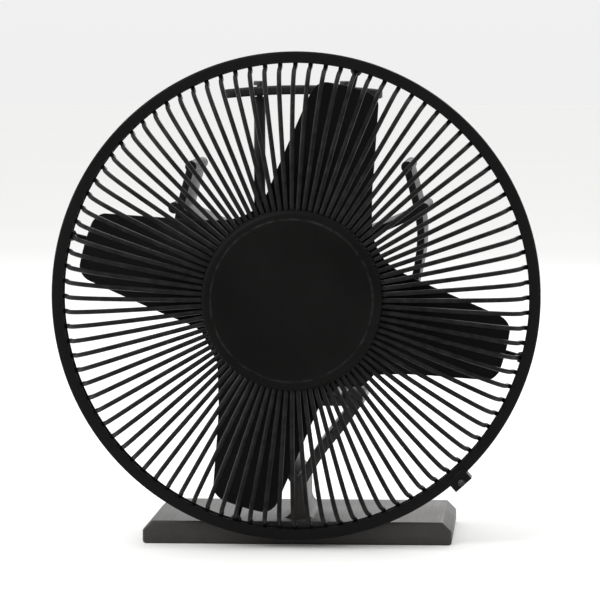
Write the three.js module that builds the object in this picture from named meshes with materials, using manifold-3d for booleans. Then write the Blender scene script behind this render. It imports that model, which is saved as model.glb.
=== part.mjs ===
// Heat-powered stove fan on a flat foot, with a wire guard round its four blades.
// Millimetres: +X to the right, +Y to the back, +Z up. The blades face -Y.
// The origin is the middle of the foot's underside, where the fan stands on the stove.
import * as THREE from 'three';
import { mergeVertices } from 'three/addons/utils/BufferGeometryUtils.js';
import Module from 'manifold-3d';

const wasm = await Module();
wasm.setup();

// Clearances
const seatGap = 0.3;
const layerGap = 0.05;
const holeClearance = 0.3;
const cutOverrun = 1;
const weldTolerance = 1e-4;
const headEdgeShare = 0.25;
const triangleCorners = 3;

// Counts
const fineSides = 56;
const roundSides = 24;
const smallSides = 12;
const screwSides = 10;
const curveSides = 8;
const hexSides = 6;
const leadSides = 8;
const leadSteps = 24;
const capSides = 42;
const bladeColumns = 4;
const bandSteps = 9;

// Guard, rim and floor clearance, which set the height of the fan's axis
const guardRadius = 105;
const rimWidth = 5;
const rimDepth = 8;
const rimWall = 1;
const rimMiddleY = -50;
const floorClearance = 3;
const axisHeight = floorClearance + guardRadius;
const wireCount = 96;
const wireWidth = 2;
const ringWireWidth = 2.4;
const ringClearance = 0.7;
const ringOffset = 1.35;
const domeDepth = 23.45;
const domeRadius = guardRadius - rimWidth - wireWidth;
const domePower = 3;
const domeAngles = [6, 28, 60];
const innerWireGap = 0.24;
const innerRingRadius = wireCount * (wireWidth + innerWireGap) / (2 * Math.PI) - ringWireWidth / 2;
const armWireRadius = 1.3;
const quarterAngles = [45, 135, 225, 315];
const frameArmAngles = [75, 165, 255, 345];
const framePlateRadius = 32.5;
const framePlateBore = 12;
const framePlateThickness = 1.5;

// Hot base
const footWidth = 134;
const footDepth = 86;
const footThickness = 10;
const footChamfer = 4;
const stemThickness = 5;
const stemFlare = 6;
const stemShare = 0.347;
const forkThickness = 4.5;
const profileDepth = 60;
const hotPlateHalfWidth = 28;
const hotPlateDrop = 49;
const hotPlateBottom = axisHeight - hotPlateDrop;
const hotPlateThickness = 4;
const forkHeight = footThickness + (hotPlateBottom - footThickness) * stemShare;

// Safety strip in its groove under the foot
const stripLength = 56;
const stripWidth = 12;
const stripThickness = 1.2;
const stripRecess = 0.6;
const stripPlaceY = 26;
const stripRivetRadius = 1.8;
const stripRivetInset = 6;
const stripRivetLength = 4.4;
const grooveDepth = 2.2;
const grooveMargin = 1;

// Thermoelectric module and its pads
const moduleMargin = 10;
const moduleSize = profileDepth - 2 * moduleMargin;
const padThickness = 0.4;
const ceramicThickness = 0.8;
const pelletThickness = 1.6;
const pelletInset = 1;

// Cold heat sink
const coldPlateHalfWidth = 29;
const coldPlateThickness = 8;
const finThickness = 3.2;
const tipRadius = 2.5;
const motorRingRadius = 20.5;
const neckWidth = 18;
const bridgeHalfWidth = 25;
const bridgeThickness = 4;
const bridgeRise = 25;
const bridgeTop = axisHeight + bridgeRise;
const portCircleRadius = 24.5;
const portRadius = 5;
const outerFinReach = 53;
const outerFinRise = 55;
const outerFinTop = axisHeight + outerFinRise;
const armNubReach = 55.5;
const armTipRise = 37;
const innerFinReach = 36;
const innerFinDrop = 24;
const innerFinBottom = axisHeight - innerFinDrop;

// Screws
const screwShank = 1.5;
const screwHead = 2.75;
const screwHeadHeight = 2;
const screwSocket = 1.5;
const socketDepth = 1.1;
const clampPlaceX = 17;
const clampMargin = 5.4;
const clampPlaceY = moduleSize / 2 + clampMargin;
const clampDepth = 17;
const guardScrewLength = 10;
const bushWall = 1;
const bushFlangeRadius = 3.8;
const bushFlangeThickness = 1.2;

// Handle
const handleHalfLength = 35;
const handleThickness = 4;
const handleWidth = 16;
const handleArch = 2;
const handleDrop = 15;
const handleTop = axisHeight + guardRadius - handleDrop;
const postRadius = 2.5;
const postPlaceX = 19;
const postStubLength = 3.5;
const handleScrewLength = 9;

// Motor
const motorRadius = 15.8;
const motorLength = 20;
const motorWall = 1;
const motorInset = 1;
const motorFrontY = motorInset - profileDepth / 2;
const motorCapThickness = 2.5;
const magnetThickness = 3.2;
const magnetLength = 12;
const magnetAngle = 120;
const armatureRadius = 10.6;
const armatureLength = 9;
const armatureCore = 4.5;
const poleCount = 3;
const slotAngle = 24;
const commutatorRadius = 2.6;
const commutatorLength = 3.5;
const shaftRadius = 1;
const shaftEndY = -58;
const bushingRadius = 3;
const bushingLength = 4.5;
const runningClearance = 0.15;
const tabPlaceX = 8;
const tabThickness = 0.5;
const tabWidth = 2.5;
const tabLength = 5;
const motorScrewRadius = 1.5;
const motorScrewLength = 4;
const coverThickness = 3;
const coverNotchHalfWidth = 9.5;
const coverNotchTop = -3;

// Rotor
const bladeInset = 12;
const bladeReach = guardRadius - bladeInset;
const bladeOffset = 33;
const bladeThickness = 1;
const bladePlaneY = -57;
const bladePitch = 20;
const bladeCount = 4;
const rootFilletEnd = 46;
const trailingRoot = -11;
const trailingSlope = 0.433;
const leadingSlope = 0.06;
const twistEnd = 60;
const tipCornerRadius = 5;
const hubRadius = 5;
const hubFlangeRadius = 11.5;
const hubFlangeThickness = 2;
const hubNose = 2.5;
const hubLength = 13;
const rivetCircleRadius = 8.2;
const rivetShank = 1.2;
const rivetHead = 2.1;
const rivetHeadHeight = 0.9;

// Centre cap, its retainer and screw
const capRadius = 38.3;
const capThickness = 3.6;
const capEdgeRadius = 2.4;
const capCrownRadius = 23;
const capCrownDrop = 0.36;
const capBossRadius = 4;
const retainerOverlap = 2.5;
const retainerRadius = innerRingRadius + retainerOverlap;
const retainerThickness = 1.5;
const capScrewLength = 4;

// Rim clip
const clipAngle = -48;
const clipLength = 9;
const clipHeight = 3;
const clipJaw = 1.2;
const clipJawReach = 2.6;
const clipScrewRadius = 0.9;

// Leads from the module to the motor
const leadRadius = 0.75;
const leadDip = 9;
const leadPlaceX = 5;

// Levels of the module's stack
const hotPlateTop = hotPlateBottom + hotPlateThickness;
const hotPadBottom = hotPlateTop + layerGap;
const hotCeramicBottom = hotPadBottom + padThickness + layerGap;
const pelletBottom = hotCeramicBottom + ceramicThickness + layerGap;
const coldCeramicBottom = pelletBottom + pelletThickness + layerGap;
const coldPadBottom = coldCeramicBottom + ceramicThickness + layerGap;
const coldPlateBottom = coldPadBottom + padThickness + layerGap;
const coldPlateTop = coldPlateBottom + coldPlateThickness;
const profileFront = -profileDepth / 2;
const profileBack = profileDepth / 2;
const boreRadius = motorRadius + holeClearance;

// Places of the guard's two ring wires and of the front of its wires
const ringFace = guardRadius - rimWall - ringClearance - ringWireWidth;
const frontRingY = rimMiddleY - ringOffset;
const rearRingY = rimMiddleY + ringOffset;
const domeFrontY = frontRingY - wireWidth / 2 - domeDepth;

// Finishes
const finishes = {
  blackPaint: { color: 0x17171a, roughness: 0.55, metalness: 0.2 },
  blackSheet: { color: 0x1b1b1c, roughness: 0.6, metalness: 0.2 },
  blackWire: { color: 0x0d0d0e, roughness: 0.4, metalness: 0.3 },
  footMetal: { color: 0x4a4544, roughness: 0.5, metalness: 0.7 },
  steel: { color: 0x8d8f92, roughness: 0.35, metalness: 0.9 },
  brass: { color: 0xb08d45, roughness: 0.35, metalness: 0.9 },
  ceramic: { color: 0xe8e6df, roughness: 0.6, metalness: 0 },
  pad: { color: 0x9aa0a6, roughness: 0.9, metalness: 0 },
  plastic: { color: 0x222224, roughness: 0.6, metalness: 0 },
  insulator: { color: 0xd9d3c2, roughness: 0.7, metalness: 0 },
  ferrite: { color: 0x35322f, roughness: 0.8, metalness: 0.1 },
  copper: { color: 0xa9683c, roughness: 0.4, metalness: 0.9 },
  redLead: { color: 0xa01c1c, roughness: 0.6, metalness: 0 },
  blackLead: { color: 0x161616, roughness: 0.6, metalness: 0 },
};

const fan = new THREE.Group();

function radians(degrees) {
  return THREE.MathUtils.degToRad(degrees);
}

// Solids

// A geometry reduced to welded positions, with no collapsed faces and its faces pointing out.
function closed(geometry) {
  const bare = geometry.clone();
  bare.deleteAttribute('normal');
  bare.deleteAttribute('uv');
  const welded = mergeVertices(bare, weldTolerance);
  const corners = welded.index.array;
  const at = (i) => new THREE.Vector3().fromBufferAttribute(welded.attributes.position, i);
  const kept = [];
  let volume = 0;
  for (let i = 0; i < corners.length; i += triangleCorners) {
    const [a, b, c] = [corners[i], corners[i + 1], corners[i + 2]];
    if (a === b || b === c || c === a) continue;
    kept.push([a, b, c]);
    volume += at(a).dot(at(b).cross(at(c)));
  }
  const faces = volume < 0 ? kept.map(([a, b, c]) => [a, c, b]) : kept;
  welded.setIndex(faces.flat());
  return welded;
}

function toSolid(geometry) {
  const mesh = closed(geometry);
  const vertProperties = new Float32Array(mesh.attributes.position.array);
  const triVerts = new Uint32Array(mesh.index.array);
  return new wasm.Manifold(new wasm.Mesh({ numProp: triangleCorners, vertProperties, triVerts }));
}

function toGeometry(solid) {
  const mesh = solid.getMesh();
  const geometry = new THREE.BufferGeometry();
  geometry.setAttribute('position', new THREE.BufferAttribute(mesh.vertProperties, triangleCorners));
  geometry.setIndex(new THREE.BufferAttribute(mesh.triVerts, 1));
  return geometry;
}

function join(...geometries) {
  return toGeometry(geometries.map(toSolid).reduce((whole, piece) => whole.add(piece)));
}

function cut(geometry, ...tools) {
  return toGeometry(tools.map(toSolid).reduce((whole, tool) => whole.subtract(tool), toSolid(geometry)));
}

// A block between two corners.
function block(low, high) {
  const size = high.map((value, axis) => value - low[axis]);
  const middle = high.map((value, axis) => (value + low[axis]) / 2);
  return new THREE.BoxGeometry(...size).translate(...middle);
}

// A profile drawn in X and Z, extruded from front to back along Y.
function extruded(shape, front, back) {
  const options = { depth: back - front, bevelEnabled: false, curveSegments: curveSides };
  return new THREE.ExtrudeGeometry(shape, options).rotateX(Math.PI / 2).translate(0, back, 0);
}

function outline(points) {
  return new THREE.Shape(points.map(([x, z]) => new THREE.Vector2(x, z)));
}

// A profile of [radius, y] pairs spun about the Y axis.
function spun(profile, sides) {
  const points = profile.map(([radius, y]) => new THREE.Vector2(radius, y));
  return new THREE.LatheGeometry(points, sides);
}

function cylinder(radius, from, to, sides) {
  return spun([[0, from], [radius, from], [radius, to], [0, to]], sides);
}

function tube(outer, inner, from, to, sides) {
  return spun([[inner, from], [outer, from], [outer, to], [inner, to], [inner, from]], sides);
}

// A solid along Y turned to stand along Z.
function standing(geometry, x, y) {
  return geometry.rotateX(Math.PI / 2).translate(x, y, 0);
}

// A strip of even thickness along a smooth line through points in X and Z.
function strip(points, thickness, front, back) {
  const line = new THREE.SplineCurve(points.map(([x, z]) => new THREE.Vector2(x, z)));
  const sides = [[], []];
  for (let step = 0; step <= bandSteps; step += 1) {
    const share = step / bandSteps;
    const point = line.getPoint(share);
    const along = line.getTangent(share);
    const across = new THREE.Vector2(-along.y, along.x).multiplyScalar(thickness / 2);
    sides[0].push(point.clone().add(across));
    sides[1].unshift(point.clone().sub(across));
  }
  return extruded(new THREE.Shape([...sides[0], ...sides[1]]), front, back);
}

// The same geometry on the other side of the plane X = 0.
function mirrored(geometry) {
  return closed(geometry.clone().scale(-1, 1, 1));
}

function bothSides(geometry) {
  return [geometry, mirrored(geometry)];
}

// A socket screw along Y: its head seats at y = 0 and faces -Y.
function screw(shankRadius, length, headRadius = screwHead, headHeight = screwHeadHeight) {
  const edge = headHeight * headEdgeShare;
  const body = spun([
    [0, -headHeight],
    [headRadius - edge, -headHeight],
    [headRadius, edge - headHeight],
    [headRadius, 0],
    [shankRadius, 0],
    [shankRadius, length],
    [0, length],
  ], screwSides);
  const socketShare = headRadius / screwHead;
  const socket = cylinder(screwSocket * socketShare, -headHeight - cutOverrun,
    socketDepth * socketShare - headHeight, hexSides);
  return cut(body, socket);
}

// Places

const upwards = [-Math.PI / 2, 0, 0];

function add(name, geometry, finish, place = [0, 0, 0], turn = [0, 0, 0]) {
  const material = new THREE.MeshStandardMaterial(finishes[finish]);
  const mesh = new THREE.Mesh(closed(geometry), material);
  mesh.name = name;
  mesh.position.set(...place);
  mesh.rotation.set(...turn);
  fan.add(mesh);
}

function onAxis(name, geometry, finish) {
  add(name, geometry, finish, [0, 0, axisHeight]);
}

// A point round the fan's axis, with the angle counted from +X towards +Z.
function around(radius, degrees, y) {
  const angle = radians(degrees);
  return [radius * Math.cos(angle), y, radius * Math.sin(angle)];
}

function aroundAxis(radius, degrees, y) {
  const [x, , z] = around(radius, degrees, y);
  return [x, y, z + axisHeight];
}

// Hot base: foot, stem, forked arms and hot plate

function clampScrewHoles(radius, from, to) {
  const holes = [];
  for (const x of [-clampPlaceX, clampPlaceX]) {
    for (const y of [-clampPlaceY, clampPlaceY]) {
      holes.push(standing(cylinder(radius, from, to, smallSides), x, y));
    }
  }
  return holes;
}

function hotBase() {
  const half = footWidth / 2;
  const front = footDepth / 2;
  const foot = extruded(outline([
    [-half, 0],
    [half, 0],
    [half, footThickness - footChamfer],
    [half - footChamfer, footThickness],
    [footChamfer - half, footThickness],
    [-half, footThickness - footChamfer],
  ]), -front, front);
  const stemHalf = stemThickness / 2;
  const flare = stemHalf + stemFlare;
  const stem = extruded(outline([
    [-flare, footThickness - cutOverrun],
    [flare, footThickness - cutOverrun],
    [flare, footThickness],
    [stemHalf, footThickness + stemFlare],
    [stemHalf, forkHeight],
    [-stemHalf, forkHeight],
    [-stemHalf, footThickness + stemFlare],
    [-flare, footThickness],
  ]), profileFront, profileBack);
  const forkEnd = hotPlateHalfWidth - forkThickness / 2;
  const rise = hotPlateBottom + hotPlateThickness / 2 - forkHeight;
  const forkShares = [[0, -0.1], [0.33, 0.32], [0.7, 0.68], [1, 1]];
  const fork = forkShares.map(([across, up]) => [forkEnd * across, forkHeight + rise * up]);
  const arm = strip(fork, forkThickness, profileFront, profileBack);
  const plate = block([-hotPlateHalfWidth, profileFront, hotPlateBottom],
    [hotPlateHalfWidth, profileBack, hotPlateTop]);
  const groove = block(
    [-stripLength / 2 - grooveMargin, stripPlaceY - stripWidth / 2 - grooveMargin, -cutOverrun],
    [stripLength / 2 + grooveMargin, stripPlaceY + stripWidth / 2 + grooveMargin, grooveDepth],
  );
  const rivetHole = standing(cylinder(stripRivetRadius / 2 + holeClearance, 0, stripRivetLength + cutOverrun,
    screwSides), stripRivetInset - stripLength / 2, stripPlaceY);
  const screwHoles = clampScrewHoles(screwShank + holeClearance, hotPlateBottom - cutOverrun,
    hotPlateTop + cutOverrun);
  return cut(join(foot, stem, ...bothSides(arm), plate), groove, rivetHole, ...screwHoles);
}

function addSafetyStrip() {
  const half = stripLength / 2;
  const bottom = stripRecess;
  const top = stripRecess + stripThickness;
  const rivetX = stripRivetInset - half;
  const halfWidth = stripWidth / 2;
  const plain = block([-half, stripPlaceY - halfWidth, bottom], [half, stripPlaceY + halfWidth, top]);
  const hole = standing(cylinder(stripRivetRadius / 2 + holeClearance, 0, footThickness, screwSides),
    rivetX, stripPlaceY);
  add('safety_strip', cut(plain, hole), 'brass');
  const headHeight = stripRecess / 2 - layerGap;
  const rivet = spun([
    [0, 0],
    [stripRivetRadius, 0],
    [stripRivetRadius, headHeight],
    [stripRivetRadius / 2, headHeight],
    [stripRivetRadius / 2, stripRivetLength],
    [0, stripRivetLength],
  ], screwSides).translate(0, headHeight, 0);
  add('safety_strip_rivet', standing(rivet, 0, 0), 'steel', [rivetX, stripPlaceY, 0]);
}

// Thermoelectric module between two pads

function addModule() {
  const layer = (size, bottom, thickness) => block(
    [-size / 2, -size / 2, bottom],
    [size / 2, size / 2, bottom + thickness],
  );
  add('thermal_pad_hot', layer(moduleSize, hotPadBottom, padThickness), 'pad');
  add('module_hot_ceramic', layer(moduleSize, hotCeramicBottom, ceramicThickness), 'ceramic');
  add('module_pellets', layer(moduleSize - 2 * pelletInset, pelletBottom, pelletThickness), 'ferrite');
  add('module_cold_ceramic', layer(moduleSize, coldCeramicBottom, ceramicThickness), 'ceramic');
  add('thermal_pad_cold', layer(moduleSize, coldPadBottom, padThickness), 'pad');
}

// Cold heat sink

function coldSink() {
  const fin = (points) => strip(points, finThickness, profileFront, profileBack);
  const bar = (halfWidth, bottom, top) => block(
    [-halfWidth, profileFront, bottom],
    [halfWidth, profileBack, top],
  );
  const roundBar = (radius, x, z, sides) => {
    const rod = cylinder(radius, profileFront, profileBack, sides);
    return rod.translate(x, 0, z);
  };
  const plateMiddle = coldPlateBottom + finThickness / 2;
  const finRise = outerFinTop - plateMiddle;
  const outerShares = [
    [0.5, 0],
    [0.6, 0.055],
    [0.705, 0.17],
    [0.81, 0.285],
    [0.925, 0.42],
    [1, 0.7],
    [0.885, 1],
  ];
  const outerFin = outerShares.map(([across, up]) => [outerFinReach * across, plateMiddle + finRise * up]);
  const armMiddle = bridgeTop - bridgeThickness / 2;
  const armEnd = axisHeight + armTipRise;
  const sideArm = [
    [bridgeHalfWidth - bridgeThickness, armMiddle],
    [(bridgeHalfWidth + armNubReach) / 2, (armMiddle + armEnd) / 2],
    [armNubReach - tipRadius / 2, armEnd],
  ];
  const innerRise = axisHeight + bridgeThickness - innerFinBottom;
  const innerShares = [[0.18, 0], [0.5, 0.05], [0.84, 0.38], [1, 1]];
  const innerFin = innerShares.map(([across, up]) => [
    innerFinReach * across,
    innerFinBottom + innerRise * up,
  ]);
  const [outerTip, armTip, innerTip] = [outerFin.at(-1), sideArm.at(-1), innerFin.at(-1)];
  const ports = quarterAngles.map((angle) => {
    const [x, , z] = aroundAxis(portCircleRadius, angle, 0);
    return roundBar(portRadius, x, z, smallSides);
  });
  const body = join(
    bar(coldPlateHalfWidth, coldPlateBottom, coldPlateTop),
    bar(neckWidth / 2, coldPlateTop - cutOverrun, axisHeight - boreRadius - cutOverrun),
    bar(neckWidth / 2, axisHeight + boreRadius + cutOverrun, bridgeTop - cutOverrun),
    bar(bridgeHalfWidth, bridgeTop - bridgeThickness, bridgeTop),
    roundBar(motorRingRadius, 0, axisHeight, roundSides),
    ...bothSides(fin(outerFin)),
    ...bothSides(fin(sideArm)),
    ...bothSides(fin(innerFin)),
    ...bothSides(roundBar(tipRadius, ...outerTip, screwSides)),
    ...bothSides(roundBar(tipRadius, ...armTip, screwSides)),
    ...bothSides(roundBar(tipRadius, ...innerTip, screwSides)),
    ...ports,
  );
  const bore = cylinder(boreRadius, profileFront - cutOverrun, profileBack + cutOverrun, roundSides)
    .translate(0, 0, axisHeight);
  const portHoles = quarterAngles.map((angle) => {
    const [x, , z] = aroundAxis(portCircleRadius, angle, 0);
    const bottom = profileFront + guardScrewLength + cutOverrun;
    const hole = cylinder(screwShank + holeClearance, profileFront - cutOverrun, bottom, screwSides);
    return hole.translate(x, 0, z);
  });
  const bushHoles = clampScrewHoles(screwShank + 2 * holeClearance + bushWall, coldPlateBottom - cutOverrun,
    coldPlateTop + cutOverrun);
  const postHoles = [-postPlaceX, postPlaceX].map((x) => standing(cylinder(screwShank + holeClearance,
    bridgeTop - bridgeThickness - cutOverrun, bridgeTop + cutOverrun, screwSides), x, 0));
  const motorScrewHole = standing(cylinder(motorScrewRadius + holeClearance, axisHeight,
    bridgeTop + cutOverrun, screwSides), 0, motorFrontY + motorLength / 2);
  return cut(body, bore, ...portHoles, ...bushHoles, ...postHoles, motorScrewHole);
}

// Clamp screws that press the sink on the module, each in an insulating bush

function addClamps() {
  const seat = coldPlateTop + seatGap;
  const sleeveRadius = screwShank + holeClearance + bushWall;
  const bush = spun([
    [screwShank + holeClearance, -bushFlangeThickness],
    [bushFlangeRadius, -bushFlangeThickness],
    [bushFlangeRadius, 0],
    [sleeveRadius, 0],
    [sleeveRadius, coldPlateThickness],
    [screwShank + holeClearance, coldPlateThickness],
    [screwShank + holeClearance, -bushFlangeThickness],
  ], smallSides);
  let number = 0;
  for (const x of [-clampPlaceX, clampPlaceX]) {
    for (const y of [-clampPlaceY, clampPlaceY]) {
      number += 1;
      const headSeat = seat + bushFlangeThickness + seatGap;
      add(`clamp_bush_${number}`, bush, 'insulator', [x, y, seat], upwards);
      add(`clamp_screw_${number}`, screw(screwShank, clampDepth), 'steel', [x, y, headSeat], upwards);
    }
  }
}

// Handle: an arched bar on two posts

function handleUnderside(x) {
  const share = x / handleHalfLength;
  return handleTop - handleThickness - handleArch * share * share;
}

function addHandle() {
  const barShares = [-1, -0.5, 0, 0.5, 1];
  const line = barShares.map((share) => {
    const x = handleHalfLength * share;
    return [x, handleUnderside(x) + handleThickness / 2];
  });
  const screwHoles = [-postPlaceX, postPlaceX].map((x) => standing(cylinder(screwShank + holeClearance,
    axisHeight, handleTop + cutOverrun, screwSides), x, 0));
  const bar = strip(line, handleThickness, -handleWidth / 2, handleWidth / 2);
  add('handle_bar', cut(bar, ...screwHoles), 'blackPaint');
  const postTop = handleUnderside(postPlaceX + postRadius) - seatGap;
  const postBottom = bridgeTop + seatGap;
  const stubEnd = postBottom - postStubLength;
  const solidPost = spun([
    [0, stubEnd],
    [screwShank, stubEnd],
    [screwShank, postBottom],
    [postRadius, postBottom],
    [postRadius, postTop],
    [0, postTop],
  ], smallSides);
  const tappedHole = cylinder(screwShank + holeClearance / 2, postTop - handleScrewLength,
    postTop + cutOverrun, screwSides);
  const post = standing(cut(solidPost, tappedHole), 0, 0);
  const headSeat = handleUnderside(postPlaceX - screwHead) + handleThickness + seatGap;
  const handleScrew = screw(screwShank - holeClearance / 2, handleScrewLength);
  for (const [side, x] of [['left', -postPlaceX], ['right', postPlaceX]]) {
    add(`handle_post_${side}`, post, 'blackPaint', [x, 0, 0]);
    add(`handle_screw_${side}`, handleScrew, 'steel', [x, 0, headSeat], upwards);
  }
}

// Motor, with its own parts

function arcBlock(outer, inner, middle, span, from, to) {
  const low = radians(middle - span / 2);
  const high = radians(middle + span / 2);
  const shape = new THREE.Shape();
  shape.absarc(0, 0, outer, low, high, false);
  shape.absarc(0, 0, inner, high, low, true);
  return extruded(shape, from, to);
}

function armatureProfile() {
  const poleSpan = 2 * Math.PI / poleCount;
  const slot = radians(slotAngle) / 2;
  const shape = new THREE.Shape();
  for (let pole = 0; pole < poleCount; pole += 1) {
    const start = pole * poleSpan + slot;
    const end = (pole + 1) * poleSpan - slot;
    shape.absarc(0, 0, armatureRadius, start, end, false);
    shape.lineTo(armatureCore * Math.cos(end + slot), armatureCore * Math.sin(end + slot));
  }
  const bore = new THREE.Path();
  bore.absarc(0, 0, shaftRadius + runningClearance, 0, 2 * Math.PI, true);
  shape.holes.push(bore);
  return shape;
}

function addMotor() {
  const back = motorFrontY + motorLength;
  const inner = motorRadius - motorWall;
  const bushHole = bushingRadius + holeClearance;
  const shaftHole = shaftRadius + runningClearance;
  onAxis('motor_can', spun([
    [bushHole, motorFrontY],
    [motorRadius, motorFrontY],
    [motorRadius, back],
    [inner, back],
    [inner, motorFrontY + motorWall],
    [bushHole, motorFrontY + motorWall],
    [bushHole, motorFrontY],
  ], roundSides), 'steel');
  onAxis('motor_front_bush', tube(bushingRadius, shaftHole, motorFrontY - bushingLength / 2,
    motorFrontY + bushingLength / 2, smallSides), 'brass');
  const magnetFront = motorFrontY + motorWall + seatGap;
  const magnetOuter = inner - holeClearance;
  for (const [side, middle] of [['left', 180], ['right', 0]]) {
    onAxis(`motor_magnet_${side}`, arcBlock(magnetOuter, magnetOuter - magnetThickness, middle, magnetAngle,
      magnetFront, magnetFront + magnetLength), 'ferrite');
  }
  const capFront = back - motorCapThickness;
  const tabSlots = [-tabPlaceX, tabPlaceX].map((x) => block(
    [x - tabThickness / 2 - holeClearance, capFront - cutOverrun, -tabWidth / 2 - holeClearance],
    [x + tabThickness / 2 + holeClearance, back + cutOverrun, tabWidth / 2 + holeClearance],
  ));
  const capDisc = tube(inner - holeClearance, bushHole, capFront, back, roundSides);
  onAxis('motor_end_cap', cut(capDisc, ...tabSlots), 'plastic');
  onAxis('motor_rear_bush', tube(bushingRadius, shaftHole, capFront, back, smallSides), 'brass');
  const leafY = capFront - seatGap - commutatorLength / 2;
  const tab = block([tabPlaceX - tabThickness / 2, leafY, -tabWidth / 2],
    [tabPlaceX + tabThickness / 2, back + tabLength, tabWidth / 2]);
  const leaf = block([commutatorRadius + seatGap, leafY, -tabWidth / 2],
    [tabPlaceX + tabThickness / 2, leafY + tabThickness, tabWidth / 2]);
  const brush = join(tab, leaf);
  onAxis('motor_brush_right', brush, 'copper');
  onAxis('motor_brush_left', mirrored(brush), 'copper');
  const commutatorBack = capFront - seatGap;
  const commutatorFront = commutatorBack - commutatorLength;
  onAxis('motor_commutator', tube(commutatorRadius, shaftHole, commutatorFront, commutatorBack,
    smallSides), 'copper');
  onAxis('motor_armature', extruded(armatureProfile(), commutatorFront - seatGap - armatureLength,
    commutatorFront - seatGap), 'ferrite');
  onAxis('motor_shaft', cylinder(shaftRadius, shaftEndY, back - layerGap, smallSides), 'steel');
  const screwEnd = axisHeight + motorRadius + seatGap;
  const clampScrew = cylinder(motorScrewRadius, screwEnd, screwEnd + motorScrewLength, screwSides);
  add('motor_clamp_screw', standing(clampScrew, 0, 0), 'steel', [0, motorFrontY + motorLength / 2, 0]);
  const coverRadius = boreRadius - holeClearance;
  const disc = cylinder(coverRadius, profileBack - coverThickness, profileBack, roundSides);
  const notch = block([-coverNotchHalfWidth, profileBack - coverThickness - cutOverrun, -motorRingRadius],
    [coverNotchHalfWidth, profileBack + cutOverrun, coverNotchTop]);
  onAxis('motor_rear_cover', cut(disc, notch), 'plastic');
}

// Leads, held by the module, the notch of the rear cover and the motor's tabs

function addLead(name, side, finish) {
  const tabEnd = motorFrontY + motorLength + tabLength;
  const exitZ = pelletBottom + pelletThickness / 2;
  const behind = profileBack + coverThickness + leadRadius;
  const notchZ = axisHeight + coverNotchTop;
  const route = [
    [leadPlaceX, moduleSize / 2 - pelletInset + seatGap, exitZ],
    [leadPlaceX, moduleSize / 2 + coverThickness, exitZ],
    [leadPlaceX, profileBack - leadRadius, exitZ + leadRadius / 2],
    [leadPlaceX, behind, exitZ + coldPlateThickness],
    [leadPlaceX + leadRadius, behind + leadRadius, (exitZ + notchZ) / 2],
    [leadPlaceX + leadRadius, behind, notchZ - leadDip],
    [leadPlaceX + 2 * leadRadius, profileBack - coverThickness, notchZ - leadPlaceX / 2],
    [tabPlaceX, tabEnd + 2 * tabLength, axisHeight],
    [tabPlaceX, tabEnd + seatGap, axisHeight],
  ].map(([x, y, z]) => new THREE.Vector3(side * x, y, z));
  const section = new THREE.Shape();
  for (let corner = 0; corner < leadSides; corner += 1) {
    const angle = 2 * Math.PI * corner / leadSides;
    const draw = corner === 0 ? 'moveTo' : 'lineTo';
    section[draw](leadRadius * Math.cos(angle), leadRadius * Math.sin(angle));
  }
  const path = new THREE.CatmullRomCurve3(route);
  add(name, new THREE.ExtrudeGeometry(section, { steps: leadSteps, extrudePath: path }), finish);
}

// Rotor: one sheet with four twisted blades

function trailingEdge(u) {
  return trailingRoot + trailingSlope * (u - rootFilletEnd);
}

function leadingEdge(u) {
  return bladeOffset + leadingSlope * (u - rootFilletEnd);
}

// Rows across one blade, from the bore outwards. Each row is a list of [u, v, lift] points, where u
// runs out along the blade, v runs clockwise across it, and lift is the blade's rise out of the plane.
function bladeRows(columns) {
  const rows = [];
  const across = Array.from({ length: columns + 1 }, (unused, column) => column / columns);
  const bore = hubRadius + holeClearance;
  rows.push(across.map((share) => {
    const angle = (share - 1 / 2) * Math.PI / 2;
    return [bore * Math.cos(angle), bore * Math.sin(angle), 0];
  }));
  const straightRow = (low, high, place) => {
    const middle = (low + high) / 2;
    rows.push(across.map((share) => {
      const v = THREE.MathUtils.lerp(low, high, share);
      const u = place(v);
      const twist = THREE.MathUtils.smoothstep(u, bladeOffset, twistEnd);
      return [u, v, twist * Math.tan(radians(bladePitch)) * (v - middle)];
    }));
  };
  const corner = trailingEdge(bladeOffset);
  const filletShares = [0, 0.35, 0.68, 1];
  for (const t of filletShares) {
    const u = bladeOffset + (rootFilletEnd - bladeOffset) * t * t;
    const v = (1 - t) ** 2 * -bladeOffset + 2 * t * (1 - t) * corner + t * t * trailingRoot;
    straightRow(v, bladeOffset, () => u);
  }
  const span = bladeReach - rootFilletEnd;
  const spanShares = [0.25, 0.5, 0.75, 0.9, 0.955, 0.988, 1];
  for (const share of spanShares) {
    const intoCorner = Math.max(0, share * span - (span - tipCornerRadius));
    const inset = tipCornerRadius - Math.sqrt(tipCornerRadius ** 2 - intoCorner ** 2);
    const along = rootFilletEnd + share * span;
    const reach = (v) => rootFilletEnd + share * (Math.sqrt(bladeReach ** 2 - v ** 2) - rootFilletEnd);
    straightRow(trailingEdge(along) + inset, leadingEdge(along) - inset, reach);
  }
  return rows;
}

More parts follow.
